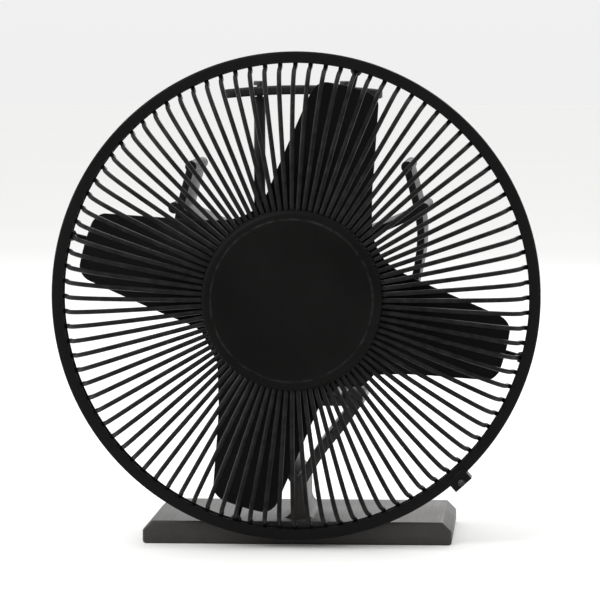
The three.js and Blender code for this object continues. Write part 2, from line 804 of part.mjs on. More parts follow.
function bladeSheet() {
  const columns = bladeColumns;
  const rows = bladeRows(columns);
  const firstOuterRow = 1;
  const positions = [];
  const half = bladeThickness / 2;
  const push = (...corners) => corners.forEach((corner) => positions.push(...corner));
  for (let blade = 0; blade < bladeCount; blade += 1) {
    const turn = 2 * Math.PI * blade / bladeCount;
    const at = (row, column, side) => {
      const [u, v, lift] = rows[row][column];
      const x = u * Math.sin(turn) + v * Math.cos(turn);
      const z = u * Math.cos(turn) - v * Math.sin(turn);
      return [x, bladePlaneY + lift + side * half, z];
    };
    const quad = (a, b, c, d) => push(a, b, c, a, c, d);
    const wall = (rowA, columnA, rowB, columnB) => quad(at(rowA, columnA, -1), at(rowB, columnB, -1),
      at(rowB, columnB, 1), at(rowA, columnA, 1));
    for (let row = 0; row < rows.length - 1; row += 1) {
      for (let column = 0; column < columns; column += 1) {
        const [next, beside] = [row + 1, column + 1];
        quad(at(row, column, -1), at(row, beside, -1), at(next, beside, -1), at(next, column, -1));
        quad(at(row, column, 1), at(next, column, 1), at(next, beside, 1), at(row, beside, 1));
      }
      if (row >= firstOuterRow) {
        wall(row, 0, row + 1, 0);
        wall(row + 1, columns, row, columns);
      }
    }
    for (let column = 0; column < columns; column += 1) {
      wall(0, column + 1, 0, column);
      wall(rows.length - 1, column, rows.length - 1, column + 1);
    }
  }
  const geometry = new THREE.BufferGeometry();
  geometry.setAttribute('position', new THREE.Float32BufferAttribute(positions, triangleCorners));
  return geometry;
}

function addRotor() {
  const sheetBack = bladePlaneY + bladeThickness / 2;
  const sheetFront = bladePlaneY - bladeThickness / 2;
  const flangeFront = sheetBack + seatGap;
  const rivetHoles = (from, to) => quarterAngles.map((angle) => {
    const place = around(rivetCircleRadius, angle, 0);
    return cylinder(rivetShank + holeClearance, from, to, screwSides).translate(...place);
  });
  const sheetHoles = rivetHoles(sheetFront - cutOverrun, sheetBack + cutOverrun);
  onAxis('fan_blades', cut(bladeSheet(), ...sheetHoles), 'blackSheet');
  const shaftHole = shaftRadius + runningClearance;
  const flangeBack = flangeFront + hubFlangeThickness;
  const hub = spun([
    [shaftHole, sheetFront - hubNose],
    [hubRadius, sheetFront - hubNose],
    [hubRadius, flangeFront],
    [hubFlangeRadius, flangeFront],
    [hubFlangeRadius, flangeBack],
    [hubRadius, flangeBack],
    [hubRadius, flangeFront + hubLength],
    [shaftHole, flangeFront + hubLength],
    [shaftHole, sheetFront - hubNose],
  ], smallSides);
  const grubPlaceY = flangeBack + (hubLength - hubFlangeThickness) / 2;
  const grubHole = standing(cylinder(motorScrewRadius + holeClearance, 0, 2 * hubRadius, screwSides),
    0, grubPlaceY);
  const hubHoles = rivetHoles(flangeFront - cutOverrun, flangeBack + cutOverrun);
  onAxis('hub', cut(hub, grubHole, ...hubHoles), 'brass');
  const grubStart = axisHeight + shaftRadius + seatGap;
  const grubScrew = cylinder(motorScrewRadius, grubStart, axisHeight + hubRadius, screwSides);
  add('hub_grub_screw', standing(grubScrew, 0, 0), 'steel', [0, grubPlaceY, 0]);
  const rivetBack = flangeBack + seatGap;
  const rivet = spun([
    [0, sheetFront - seatGap - rivetHeadHeight],
    [rivetHead, sheetFront - seatGap - rivetHeadHeight / 2],
    [rivetHead, sheetFront - seatGap],
    [rivetShank, sheetFront - seatGap],
    [rivetShank, rivetBack],
    [0, rivetBack],
  ], screwSides);
  quarterAngles.forEach((angle, index) => {
    add(`hub_rivet_${index + 1}`, rivet, 'steel', aroundAxis(rivetCircleRadius, angle, 0));
  });
}

// Guard: wires and rings that share their corners, as if welded

function guardGrille() {
  const halfWire = wireWidth / 2;
  const halfRing = ringWireWidth / 2;
  const ringOuter = ringFace + ringWireWidth;
  const innerFace = innerRingRadius + halfRing;
  const innerRingBore = innerRingRadius - halfRing;
  const positions = [];
  const push = (...corners) => corners.forEach((corner) => positions.push(...corner));
  const quad = (a, b, c, d) => push(a, b, c, a, c, d);
  const ringAt = (angle, radius, y) => [radius * Math.cos(angle), y, radius * Math.sin(angle)];
  // One stretch of a ring from angle a to angle b. The wires' side has the wire's own height.
  const ringStretch = (a, b, face, outer, y, wired) => {
    const section = [
      [face, y - halfWire],
      [face, y + halfWire],
      [outer, y + halfRing],
      [outer, y - halfRing],
    ];
    section.forEach(([radius, height], index) => {
      if (index === 0 && wired) return;
      const [nextRadius, nextHeight] = section[(index + 1) % section.length];
      const corners = [ringAt(a, radius, height), ringAt(b, radius, height),
        ringAt(b, nextRadius, nextHeight), ringAt(a, nextRadius, nextHeight)];
      if (outer < face) corners.reverse();
      quad(...corners);
    });
  };
  const spread = (domeAngle, power) => power ** (2 / domePower) * domeAngle;
  const path = [[domeRadius + halfWire, frontRingY - halfWire / 2]];
  for (const angle of domeAngles) {
    const across = spread(domeRadius - innerFace, Math.cos(radians(angle)));
    const forward = spread(domeDepth, Math.sin(radians(angle)));
    path.push([innerFace + across, frontRingY - halfWire - forward]);
  }
  // Corners of the wire's section: outer or front side first, then inner or back side.
  const sections = path.map(([radius, y], index) => {
    const before = index > 0 ? path[index - 1] : [ringFace, frontRingY];
    const after = index < path.length - 1 ? path[index + 1] : [innerFace, domeFrontY];
    const along = new THREE.Vector2(after[0] - before[0], after[1] - before[1]).normalize();
    const side = new THREE.Vector2(-along.y, along.x).multiplyScalar(halfWire);
    return [[radius + side.x, y + side.y], [radius - side.x, y - side.y]];
  });
  const pitch = 2 * Math.PI / wireCount;
  const rimSpread = Math.asin(halfWire / ringFace);
  const innerSpread = Math.asin(halfWire / innerFace);
  for (let wire = 0; wire < wireCount; wire += 1) {
    const angle = pitch * wire;
    ringStretch(angle - rimSpread, angle + rimSpread, ringFace, ringOuter, frontRingY, true);
    ringStretch(angle + rimSpread, angle + pitch - rimSpread, ringFace, ringOuter, frontRingY, false);
    ringStretch(angle - innerSpread, angle + innerSpread, innerFace, innerRingBore, domeFrontY, true);
    ringStretch(angle + innerSpread, angle + pitch - innerSpread, innerFace, innerRingBore,
      domeFrontY, false);
    const endCorners = (radius, y, half) => [
      ringAt(angle - half, radius, y - halfWire), ringAt(angle + half, radius, y - halfWire),
      ringAt(angle + half, radius, y + halfWire), ringAt(angle - half, radius, y + halfWire),
    ];
    const sideways = [-Math.sin(angle) * halfWire, Math.cos(angle) * halfWire];
    const pathCorner = ([radius, y], side) => [radius * Math.cos(angle) + side * sideways[0], y,
      radius * Math.sin(angle) + side * sideways[1]];
    const loops = [
      endCorners(ringFace, frontRingY, rimSpread),
      ...sections.map(([outer, inner]) => [pathCorner(outer, -1), pathCorner(outer, 1),
        pathCorner(inner, 1), pathCorner(inner, -1)]),
      endCorners(innerFace, domeFrontY, innerSpread),
    ];
    for (let index = 0; index < loops.length - 1; index += 1) {
      const [here, next] = [loops[index], loops[index + 1]];
      here.forEach((corner, side) => {
        const other = (side + 1) % here.length;
        quad(corner, here[other], next[other], next[side]);
      });
    }
  }
  const geometry = new THREE.BufferGeometry();
  geometry.setAttribute('position', new THREE.Float32BufferAttribute(positions, triangleCorners));
  return geometry;
}

function addRim() {
  const front = rimMiddleY - rimDepth / 2;
  const back = rimMiddleY + rimDepth / 2;
  const outer = guardRadius;
  const inner = guardRadius - rimWall;
  const lip = guardRadius - rimWidth;
  onAxis('rim_band', spun([
    [lip, front],
    [outer, front],
    [outer, back],
    [lip, back],
    [lip, back - rimWall],
    [inner, back - rimWall],
    [inner, front + rimWall],
    [lip, front + rimWall],
    [lip, front],
  ], fineSides), 'blackWire');
  const jawFront = front - seatGap - clipJaw;
  const jawBack = back + seatGap + clipJaw;
  const bodyBottom = outer + seatGap;
  const screwRadius = bodyBottom + clipHeight / 2;
  const half = clipLength / 2;
  const body = block([bodyBottom, jawFront, -half], [bodyBottom + clipHeight, jawBack, half]);
  const jaws = [[jawFront, jawFront + clipJaw], [jawBack - clipJaw, jawBack]].map(([from, to]) => block(
    [outer - clipJawReach, from, -half],
    [bodyBottom + clipHeight / 2, to, half],
  ));
  const holeRadius = clipScrewRadius + holeClearance / 2;
  const hole = cylinder(holeRadius, jawFront - cutOverrun, jawBack + cutOverrun, screwSides);
  hole.translate(screwRadius, 0, 0);
  const screwLength = jawBack - jawFront + 2 * seatGap + clipJaw;
  const clip = new THREE.Group();
  clip.position.set(0, 0, axisHeight);
  clip.rotation.set(0, radians(-clipAngle), 0);
  const clipPieces = [
    ['rim_clip', cut(join(body, ...jaws), hole), 'blackWire', [0, 0, 0]],
    ['rim_clip_screw', screw(clipScrewRadius, screwLength, clipHeight / 2, clipJaw), 'steel',
      [screwRadius, jawFront - seatGap, 0]],
    ['rim_clip_nut', tube(clipHeight / 2, holeRadius, 0, clipJaw, hexSides), 'steel',
      [screwRadius, jawBack + seatGap, 0]],
  ];
  for (const [name, geometry, finish, place] of clipPieces) {
    const mesh = new THREE.Mesh(closed(geometry), new THREE.MeshStandardMaterial(finishes[finish]));
    mesh.name = name;
    mesh.position.set(...place);
    clip.add(mesh);
  }
  fan.add(clip);
}

function addRearFrame() {
  const halfRing = ringWireWidth / 2;
  const plateBack = profileFront - seatGap;
  const plateFront = plateBack - framePlateThickness;
  const ring = tube(ringFace + ringWireWidth, ringFace, rearRingY - halfRing, rearRingY + halfRing,
    fineSides);
  const plate = tube(framePlateRadius, framePlateBore, plateFront, plateBack, roundSides);
  const arms = frameArmAngles.map((angle) => {
    const start = new THREE.Vector3(framePlateRadius - framePlateThickness, plateFront, 0);
    const end = new THREE.Vector3(ringFace + halfRing / 2, rearRingY, 0);
    const along = end.clone().sub(start);
    const rod = cylinder(armWireRadius, 0, along.length(), hexSides);
    const turn = new THREE.Quaternion().setFromUnitVectors(new THREE.Vector3(0, 1, 0), along.normalize());
    rod.applyQuaternion(turn);
    return rod.translate(...start.toArray()).rotateY(-radians(angle));
  });
  const holes = quarterAngles.map((angle) => cylinder(screwShank + holeClearance, plateFront - cutOverrun,
    plateBack + cutOverrun, screwSides).translate(...around(portCircleRadius, angle, 0)));
  onAxis('guard_rear_frame', cut(join(ring, plate, ...arms), ...holes), 'blackWire');
  const guardScrew = screw(screwShank, guardScrewLength);
  quarterAngles.forEach((angle, index) => {
    const place = aroundAxis(portCircleRadius, angle, plateFront - seatGap);
    add(`guard_screw_${index + 1}`, guardScrew, 'steel', place);
  });
}

function addCentreCap() {
  const halfRing = ringWireWidth / 2;
  const capBack = domeFrontY - halfRing - seatGap;
  const capFront = capBack - capThickness;
  const ringBack = domeFrontY + halfRing;
  const retainerFront = ringBack + seatGap;
  const bossBack = retainerFront - seatGap;
  const edgeShares = [[1, 0.35], [0.3, 0.65], [0, 1]];
  const edge = edgeShares.map(([inset, drop]) => [
    capRadius - capEdgeRadius * inset,
    capFront + capEdgeRadius * drop,
  ]);
  const cap = spun([
    [0, capFront],
    [capCrownRadius, capFront + capCrownDrop],
    ...edge,
    [capRadius, capBack],
    [capBossRadius, capBack],
    [capBossRadius, bossBack],
    [0, bossBack],
  ], capSides);
  const tapped = cylinder(screwShank, bossBack - capScrewLength, bossBack + cutOverrun, screwSides);
  onAxis('centre_cap', cut(cap, tapped), 'blackPaint');
  onAxis('cap_retainer', tube(retainerRadius, screwShank, retainerFront, retainerFront + retainerThickness,
    roundSides), 'blackPaint');
  const seat = retainerFront + retainerThickness + seatGap;
  const capScrew = screw(screwShank - holeClearance, seat - bossBack + capScrewLength - holeClearance);
  add('cap_screw', capScrew, 'steel', [0, seat, axisHeight], [Math.PI, 0, 0]);
}

add('hot_base', hotBase(), 'footMetal');
addSafetyStrip();
addModule();
add('cold_heat_sink', coldSink(), 'blackPaint');
addClamps();
addHandle();
addMotor();
addLead('lead_red', -1, 'redLead');
addLead('lead_black', 1, 'blackLead');
addRotor();
onAxis('guard_grille', guardGrille(), 'blackWire');
addRim();
addRearFrame();
addCentreCap();

export default fan;
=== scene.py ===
"""Looks of a heat-powered stove fan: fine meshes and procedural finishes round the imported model.

Metres, X to the right, Y to the back, Z up. The fan's axis runs along Y at the height AXIS_Z.
"""
import math

import bmesh
import bpy
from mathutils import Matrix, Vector
from mathutils.geometry import delaunay_2d_cdt


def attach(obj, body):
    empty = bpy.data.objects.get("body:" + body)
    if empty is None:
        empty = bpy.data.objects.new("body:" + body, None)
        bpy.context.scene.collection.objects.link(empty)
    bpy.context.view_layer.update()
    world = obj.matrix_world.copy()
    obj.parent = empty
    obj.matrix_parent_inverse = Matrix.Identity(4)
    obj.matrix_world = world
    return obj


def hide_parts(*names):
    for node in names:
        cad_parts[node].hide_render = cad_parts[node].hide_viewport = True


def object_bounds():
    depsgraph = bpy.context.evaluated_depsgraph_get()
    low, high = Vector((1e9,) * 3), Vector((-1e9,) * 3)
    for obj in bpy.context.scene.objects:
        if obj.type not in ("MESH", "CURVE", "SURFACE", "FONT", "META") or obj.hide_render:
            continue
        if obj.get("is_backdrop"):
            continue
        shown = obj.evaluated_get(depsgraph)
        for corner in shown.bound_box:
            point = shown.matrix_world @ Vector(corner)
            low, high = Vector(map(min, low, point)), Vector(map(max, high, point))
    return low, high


# Axis of the fan and directions
AXIS_Z = 0.108
X, Y, Z = Vector((1, 0, 0)), Vector((0, 1, 0)), Vector((0, 0, 1))
QUARTERS = (45, 135, 225, 315)
FRAME_ARMS = (75, 165, 255, 345)

# Fineness of the meshes
RIM_SIDES = 240
ROUND_SIDES = 96
SMALL_SIDES = 48
WIRE_SIDES, LEAD_SIDES, NUT_SIDES = 10, 16, 6
SHARP_ANGLE = 32
ARC_STEPS = 4

# Tolerances, the clearance of holes, shares and eased edges
TINY, NEAR, WELD, HOLE_GAP = 1e-6, 0.00015, 0.00001, 0.0003
REACH_SHARE, MITRE_LEAST, SCREW_EASE_SHARE, HEAD_CORNER_SHARE = 0.46, 0.35, 0.25, 0.25
ARC_TURNS = [math.pi / 2 * step / ARC_STEPS for step in range(ARC_STEPS + 1)]
FINE_EASE, SOFT_EASE, ROOT_FILLET, FOOT_EASE = 0.0003, 0.0005, 0.0014, 0.0008

# Guard
RIM_OUTER, RIM_LIP, RIM_WALL = 0.105, 0.1, 0.001
RIM_FRONT, RIM_BACK = -0.054, -0.046
RIM_EASE = 0.0008
RING_RADIUS, RING_WIRE = 0.1021, 0.0012
FRONT_RING_Y, REAR_RING_Y = -0.05135, -0.04865
WIRE_COUNT, WIRE_RADIUS = 96, 0.001
DOME_RADIUS, DOME_DEPTH, DOME_POWER = 0.098, 0.02345, 3
DOME_FRONT_Y = -0.0758
DOME_STEPS = 22
BEND, BEND_SHARES = 0.0024, (0, 0.2, 0.4, 0.6, 0.8, 1)
INNER_RING, INNER_FACE = 0.033025, 0.034225
BEAD_RADIUS, ARM_BEAD_RADIUS, BEAD_SHARE = 0.0013, 0.0026, 0.8
FRAME_PLATE, FRAME_BORE = 0.0325, 0.012
FRAME_FRONT, FRAME_BACK = -0.0318, -0.0303
ARM_WIRE, ARM_START = 0.0013, 0.031
PORT_CIRCLE = 0.0245

# Centre cap and its fixing
CAP_RADIUS, CAP_FRONT, CAP_BACK = 0.0383, -0.0809, -0.0773
CAP_EDGE, CAP_STEP = 0.0024, 0.0009
CAP_DISH_RADIUS, CAP_DISH_DEPTH = 0.0342, 0.0004
CAP_CROWN, CROWN_STEPS = 0.0005, 12
CAP_BOSS, CAP_BOSS_BACK = 0.004, -0.0746
RETAINER, RETAINER_FRONT, RETAINER_BACK = 0.035525, -0.0743, -0.0728
CAP_SCREW_SEAT, CAP_SCREW_LENGTH = -0.0725, 0.0058

# Rotor
BLADE_REACH, BLADE_OFFSET, BLADE_THICKNESS = 0.093, 0.033, 0.001
BLADE_Y, BLADE_PITCH, BLADE_COUNT = -0.057, 20, 4
FILLET_END, TRAILING_ROOT, TRAILING_SLOPE, LEADING_SLOPE = 0.046, -0.011, 0.433, 0.06
TWIST_END, TIP_CORNER, BLADE_BORE = 0.06, 0.005, 0.0053
BLADE_COLUMNS, FILLET_STEPS, SPAN_STEPS, TIP_STEPS = 28, 14, 34, 9
BLADE_EASE = 0.0003
HUB_RADIUS, HUB_FLANGE, HUB_BORE = 0.005, 0.0115, 0.00115
HUB_NOSE_Y, FLANGE_FRONT, FLANGE_BACK, HUB_END = -0.06, -0.0562, -0.0542, -0.0432
RIVET_CIRCLE, RIVET_HEAD, RIVET_SHANK = 0.0082, 0.0021, 0.0012
RIVET_SEAT, RIVET_TOP, RIVET_END = -0.0578, -0.0587, -0.0539

# Hot base
FOOT_HALF, FOOT_FRONT, FOOT_TOP, FOOT_CHAMFER = 0.067, 0.043, 0.01, 0.004
PROFILE_HALF = 0.03
STEM_HALF, STEM_FLARE, FORK_Z, FORK_THICKNESS = 0.0025, 0.006, 0.027, 0.0045
HOT_HALF, HOT_BOTTOM, HOT_TOP = 0.028, 0.059, 0.063
FLARE_START = math.radians(20)
STRIP_GROOVE = (0.029, 0.019, 0.033, 0.0022)

# Thermoelectric module
PELLET_HALF, PELLET_BOTTOM, PELLET_TOP = 0.019, 0.06435, 0.06595
PELLET_COUNT, PELLET_SHARE = 16, 0.62

# Cold heat sink
COLD_HALF, COLD_BOTTOM, COLD_TOP, COLD_TAPER = 0.029, 0.0673, 0.0753, 0.001
FIN_THICKNESS, TIP_RADIUS = 0.0032, 0.0025
RING_OUTER, BORE_RADIUS, NECK_HALF = 0.0205, 0.0161, 0.009
BRIDGE_HALF, BRIDGE_BOTTOM, BRIDGE_TOP = 0.025, 0.129, 0.133
PORT_RADIUS = 0.005
OUTER_REACH, OUTER_TOP = 0.053, 0.163
NUB_REACH, NUB_RISE = 0.0555, 0.037
INNER_REACH, INNER_BOTTOM, INNER_TOP = 0.036, 0.084, 0.112
OVERLAP = 0.001
FIN_STEPS = 48

# Screws: shank, head and head height
SHANK, HEAD, HEAD_HEIGHT = 0.0015, 0.00275, 0.002
SOCKET_SHARE, SOCKET_DEPTH_SHARE = 0.545, 0.55
CLAMP_X, CLAMP_Y, CLAMP_SEAT, CLAMP_LENGTH = 0.017, 0.0254, 0.0771, 0.017
CLAMP_PLACES = [(x, y) for x in (-CLAMP_X, CLAMP_X) for y in (-CLAMP_Y, CLAMP_Y)]
BUSH_SEAT, BUSH_FLANGE, BUSH_FLANGE_RADIUS = 0.0756, 0.0012, 0.0038
BUSH_SLEEVE, BUSH_BORE, BUSH_LENGTH = 0.0028, 0.0018, 0.008
GUARD_SCREW_SEAT, GUARD_SCREW_LENGTH = -0.0321, 0.01

# Handle
HANDLE_HALF, HANDLE_WIDTH, HANDLE_THICKNESS = 0.035, 0.016, 0.004
HANDLE_TOP, HANDLE_ARCH = 0.198, 0.002
HANDLE_CORNER, HANDLE_EASE, HANDLE_STEPS = 0.005, 0.0011, 60
POST_X, POST_RADIUS, POST_BOTTOM, POST_TOP, POST_STUB = 0.019, 0.0025, 0.1333, 0.19294, 0.1298
HANDLE_SCREW_SEAT, HANDLE_SCREW_SHANK, HANDLE_SCREW_LENGTH = 0.19787, 0.00135, 0.009

# Motor
MOTOR_RADIUS, MOTOR_WALL, MOTOR_FRONT, MOTOR_BACK = 0.0158, 0.001, -0.029, -0.009
MOTOR_BUSH_HOLE, MOTOR_BUSH, MOTOR_BUSH_BORE = 0.0033, 0.003, 0.00115
MOTOR_BUSH_FRONT, MOTOR_BUSH_BACK = -0.03125, -0.02675
SHAFT_RADIUS, SHAFT_FRONT, SHAFT_BACK = 0.001, -0.058, -0.00905
COVER_FRONT, COVER_BACK, COVER_NOTCH, COVER_NOTCH_TOP = 0.027, 0.03, 0.0095, 0.105
COVER_EASE = 0.00012

# Rim clip, in the directions out from the axis and along Y
CLIP_ANGLE, CLIP_HALF = -48, 0.0045
CLIP_BOTTOM, CLIP_TOP, CLIP_JAW_END = 0.1053, 0.1083, 0.1024
CLIP_JAW_HEIGHT, CLIP_JAW = 0.1068, 0.0012
CLIP_FRONT, CLIP_BACK = -0.0555, -0.0445
CLIP_EASE = 0.00025
CLIP_SCREW, CLIP_SCREW_HEAD = 0.0009, 0.0015
CLIP_SCREW_SEAT, CLIP_SCREW_LENGTH = -0.0558, 0.0128
CLIP_NUT_FRONT, CLIP_NUT_BACK, CLIP_NUT_BORE = -0.0442, -0.043, 0.00105

# Leads
LEAD_RADIUS, LEAD_STEPS = 0.00075, 140
LEAD_ROUTE = (
    (0.005, 0.0193, 0.06515), (0.005, 0.023, 0.06515), (0.005, 0.02925, 0.065525),
    (0.005, 0.03375, 0.07315), (0.00575, 0.0345, 0.085075), (0.00575, 0.03375, 0.096),
    (0.0065, 0.027, 0.1025), (0.008, 0.006, 0.108), (0.008, -0.0037, 0.108),
)

# Stage
FLOOR_HALF = 12
CAMERA_AZIMUTH, CAMERA_ELEVATION, CAMERA_DISTANCE = 3.5, 3.7, 1.75
VIEW_WIDTH, SENSOR = 0.262, 36
AIM = Vector((0.0, -0.02, 0.1045))

# Shares along the fins' and forks' lines
FORK_SHARES = ((0, -0.1), (0.33, 0.32), (0.7, 0.68), (1, 1))
OUTER_SHARES = ((0.5, 0), (0.6, 0.055), (0.705, 0.17), (0.81, 0.285), (0.925, 0.42), (1, 0.7), (0.885, 1))
INNER_SHARES = ((0.18, 0), (0.5, 0.05), (0.84, 0.38), (1, 1))

# Scales, shares and tones of the finishes
BROAD_SCALE, BROAD_DETAIL, FINE_DETAIL, GLOSS_SPREAD = 28, 3.0, 4.0, 0.04
BROAD_RANGE, NOISE_RANGE, BROAD_WEIGHT, FINE_WEIGHT = (0.35, 0.65), (0.3, 0.7), 0.6, 0.4
FINE_DEPTH, BEVEL_SAMPLES = 0.00002, 4
PATCH_SCALE, PATCH_SHARES = 260, (0.35, 0.68)
# Edges get a lighter tone, part wear and part painted highlight: the likeness limits of their mask, its bevel
# radius, and the blades' radius.
EDGE_LIKENESS, EDGE_RADIUS, BLADE_EDGE = (0.99, 0.88), 0.0009, 0.0006
# Up-facing surfaces get lighter specks, part dust and part painted sheen: the shares of their mask, the
# scale, the least share and the tone.
TOP_SHARES, DUST_AND_SHEEN_SCALE, DUST_AND_SHEEN_LEAST, DUST_AND_SHEEN_TONE = (0.6, 0.95), 60, 0.35, (0.24, 0.225, 0.21)
SPECK_SCALE, SPECK_RANGE = 1500, (0.42, 0.66)
# Gloss gained on the edges that carry wear and a painted highlight.
EDGE_WEAR_AND_HIGHLIGHT_GLOSS = 0.12
PELLET_GRAIN, PELLET_GLOSS, PELLET_METAL, TAB_THICKNESS = 1800, (0.32, 0.55), 0.75, 0.0003
PELLET_TONES, TAB_TONES = ((0.07, 0.07, 0.075), (0.2, 0.2, 0.21)), ((0.5, 0.26, 0.13), (0.66, 0.36, 0.2))
FLOOR_SCALE, FLOOR_TONES = 3, ((0.86, 0.86, 0.85), (0.89, 0.89, 0.88))
FLOOR_ROUGHNESS, FLOOR_GLEAM = 0.8, 0.2

# Sockets of a Mix node that blends colours
MIX_SHARE, MIX_LOW, MIX_HIGH, MIX_RESULT = 0, 6, 7, 2

# Light: the sky, and each softbox with its name, place, size and power
WORLD_STRENGTH, HORIZON_SHARE, SKY_RISE = 1.0, 0.87, 0.3
SOFTBOXES = (
    ("key", (-1.0, -1.5, 1.5), (1.2, 1.2), 22),
    ("fill", (1.4, -1.0, 0.8), (0.9, 1.3), 3),
    ("strip", (-1.5, -0.5, 0.3), (0.2, 1.2), 5),
    ("top", (0.0, 0.1, 1.7), (1.6, 1.2), 6),
    ("back", (0.5, 1.5, 1.1), (1.4, 0.9), 8),
)

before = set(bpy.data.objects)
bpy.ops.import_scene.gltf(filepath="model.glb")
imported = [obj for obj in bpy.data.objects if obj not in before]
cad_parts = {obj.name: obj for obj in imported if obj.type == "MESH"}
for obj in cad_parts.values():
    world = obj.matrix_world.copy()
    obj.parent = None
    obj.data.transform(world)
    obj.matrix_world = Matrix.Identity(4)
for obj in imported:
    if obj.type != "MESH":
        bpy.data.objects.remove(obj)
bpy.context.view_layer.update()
AXIS = Vector((0, 0, AXIS_Z))


# Outlines and profiles

def lerp(low, high, share):
    return low + (high - low) * share


def even_turns(count):
    """Angles that share a full turn evenly."""
    return [2 * math.pi * index / count for index in range(count)]


def directions(turn):
    """The directions out from the axis and sideways at an angle from X to Z."""
    return math.cos(turn) * X + math.sin(turn) * Z, math.cos(turn) * Z - math.sin(turn) * X


def vectors(*pairs):
    return [Vector(pair) for pair in pairs]


def circle(radius, sides, x=0, z=AXIS_Z):
    """An outline in X and Z."""
    return [Vector((x + radius * math.cos(t), z + radius * math.sin(t))) for t in even_turns(sides)]


def quarter_circles(radius, reach):
    """A small circle at each diagonal of the axis."""
    turns = [math.radians(turn) for turn in QUARTERS]
    return [circle(radius, SMALL_SIDES, reach * math.cos(t), AXIS_Z + reach * math.sin(t)) for t in turns]


def rectangle(half, bottom, top):
    return vectors((-half, bottom), (half, bottom), (half, top), (-half, top))


def mirrored(outline):
    return [Vector((-x, z)) for x, z in reversed(outline)]


def both_sides(outline):
    return [outline, mirrored(outline)]


def spline(points, share):
    """A place and its direction on the smooth line through points."""
    last = len(points) - 1
    place = share * last
    index = min(int(place), last - 1)
    t = place - index
    before, start = points[max(index - 1, 0)], points[index]
    end, after = points[index + 1], points[min(index + 2, last)]
    out, into = (end - before) / 2, (after - start) / 2
    a, b = 2 * start - 2 * end + out + into, 3 * end - 3 * start - 2 * out - into
    return start + out * t + b * t ** 2 + a * t ** 3, out + 2 * b * t + 3 * a * t ** 2


def strip(points, thickness):
    """The outline of a strip of even thickness along a smooth line."""
    left, right = [], []
    for step in range(FIN_STEPS + 1):
        place, along = spline(points, step / FIN_STEPS)
        across = Vector((-along.y, along.x)).normalized() * thickness / 2
        left.append(place + across)
        right.append(place - across)
    return left + right[::-1]


def eased(points, convex, concave, loop=True):
    """The outline with each sharp corner turned into an arc. The solid lies on the outline's left."""
    sharp = math.radians(SHARP_ANGLE / 2)
    count = len(points)
    result = []
    for index, corner in enumerate(points):
        if not loop and index in (0, count - 1):
            result.append(corner)
            continue
        into = corner - points[index - 1]
        out = points[(index + 1) % count] - corner
        turn = into.angle(out, 0)
        if turn < sharp:
            result.append(corner)
            continue
        radius = convex if into.cross(out) > 0 else concave
        reach = min(radius * math.tan(turn / 2), into.length * REACH_SHARE, out.length * REACH_SHARE)
        start = corner - into.normalized() * reach
        end = corner + out.normalized() * reach
        for step in range(ARC_STEPS + 1):
            t = step / ARC_STEPS
            result.append(start.lerp(corner, t).lerp(corner.lerp(end, t), t))
    return result


def area(outline):
    return sum(a.cross(b) for a, b in zip(outline, outline[1:] + outline[:1])) / 2


def covered(add, cut):
    """Points and triangles of what lies in an outline of add and in none of cut."""
    points, faces = [], []
    for outline in [*add, *cut]:
        faces.append(list(range(len(points), len(points) + len(outline))))
        points.extend(outline if area(outline) > 0 else outline[::-1])
    points, _, triangles, _, _, sources = delaunay_2d_cdt(points, [], faces, 1, TINY, True)
    first_cut = len(add)
    kept = [face for face, owners in zip(triangles, sources) if owners and max(owners) < first_cut]
    return points, kept


def section(add, cut=()):
    """Outlines round what lies in add and outside cut, with the solid on their left."""
    points, triangles = covered(add, cut)
    sides = {(face[i - 1], face[i]) for face in triangles for i in range(len(face))}
    following = {a: b for a, b in sides if (b, a) not in sides}
    loops = []
    while following:
        start, here = following.popitem()
        loop = [start]
        while here in following:
            loop.append(here)
            here = following.pop(here)
        outline = [points[index] for index in loop]
        pairs = zip(outline, outline[-1:] + outline[:-1])
        loops.append([point for point, before in pairs if (point - before).length > NEAR])
    return loops


def inset(outline, depth):
    """The outline moved into the solid."""
    moved = []
    for index, corner in enumerate(outline):
        into = (corner - outline[index - 1]).normalized()
        out = (outline[(index + 1) % len(outline)] - corner).normalized()
        inward = Vector((-into.y - out.y, into.x + out.x))
        moved.append(corner + inward * depth / max(1 + into.dot(out), MITRE_LEAST))
    return moved


# Meshes

def loft(bm, rings, loop=False):
    """Skins each ring of points to the next one. A ring of one point is a pole."""
    made = [[bm.verts.new(point) for point in points] for points in rings]
    followers = made[1:] + made[:1] if loop else made[1:]
    for low, high in zip(made, followers):
        count = max(len(low), len(high))
        for i in range(count):
            j = (i + 1) % count
            corners = (low[i % len(low)], low[j % len(low)], high[j % len(high)], high[i % len(high)])
            bm.faces.new(list(dict.fromkeys(corners)))
    return made


def ring(centre, axis, radius, sides):
    """Points round an axis, or the centre alone where there is no radius."""
    if radius < TINY:
        return [centre]
    side = axis.orthogonal().normalized()
    other = axis.cross(side)
    return [centre + radius * (math.cos(t) * side + math.sin(t) * other) for t in even_turns(sides)]


def spun(bm, profile, ease=0.0, sides=ROUND_SIDES, origin=AXIS, axis=Y):
    """A profile of (radius, height) pairs spun about an axis. One that starts on the axis is open."""
    points = vectors(*profile)
    solid = points[0].x < TINY
    if area(points) < 0:
        points.reverse()
    if ease:
        points = eased(points, ease, ease, loop=not solid)
    loft(bm, [ring(origin + axis * y, axis, radius, sides) for radius, y in points], loop=not solid)


def ring_wire(bm, radius, y, wire):
    turns = even_turns(WIRE_SIDES)
    spun(bm, [(radius + wire * math.cos(t), y + wire * math.sin(t)) for t in turns], sides=RIM_SIDES)


def sweep(bm, path, radius, reference, sides=WIRE_SIDES):
    """A round rod along a path, closed at both ends."""
    rings = [[path[0]]]
    for index, point in enumerate(path):
        along = (path[min(index + 1, len(path) - 1)] - path[max(index - 1, 0)]).normalized()
        side = (reference - along * reference.dot(along)).normalized()
        other = along.cross(side)
        around = [math.cos(t) * side + math.sin(t) * other for t in even_turns(sides)]
        rings.append([point + radius * out for out in around])
    rings.append([path[-1]])
    loft(bm, rings)


def upright(x, y, z):
    return Vector((x, y, z))


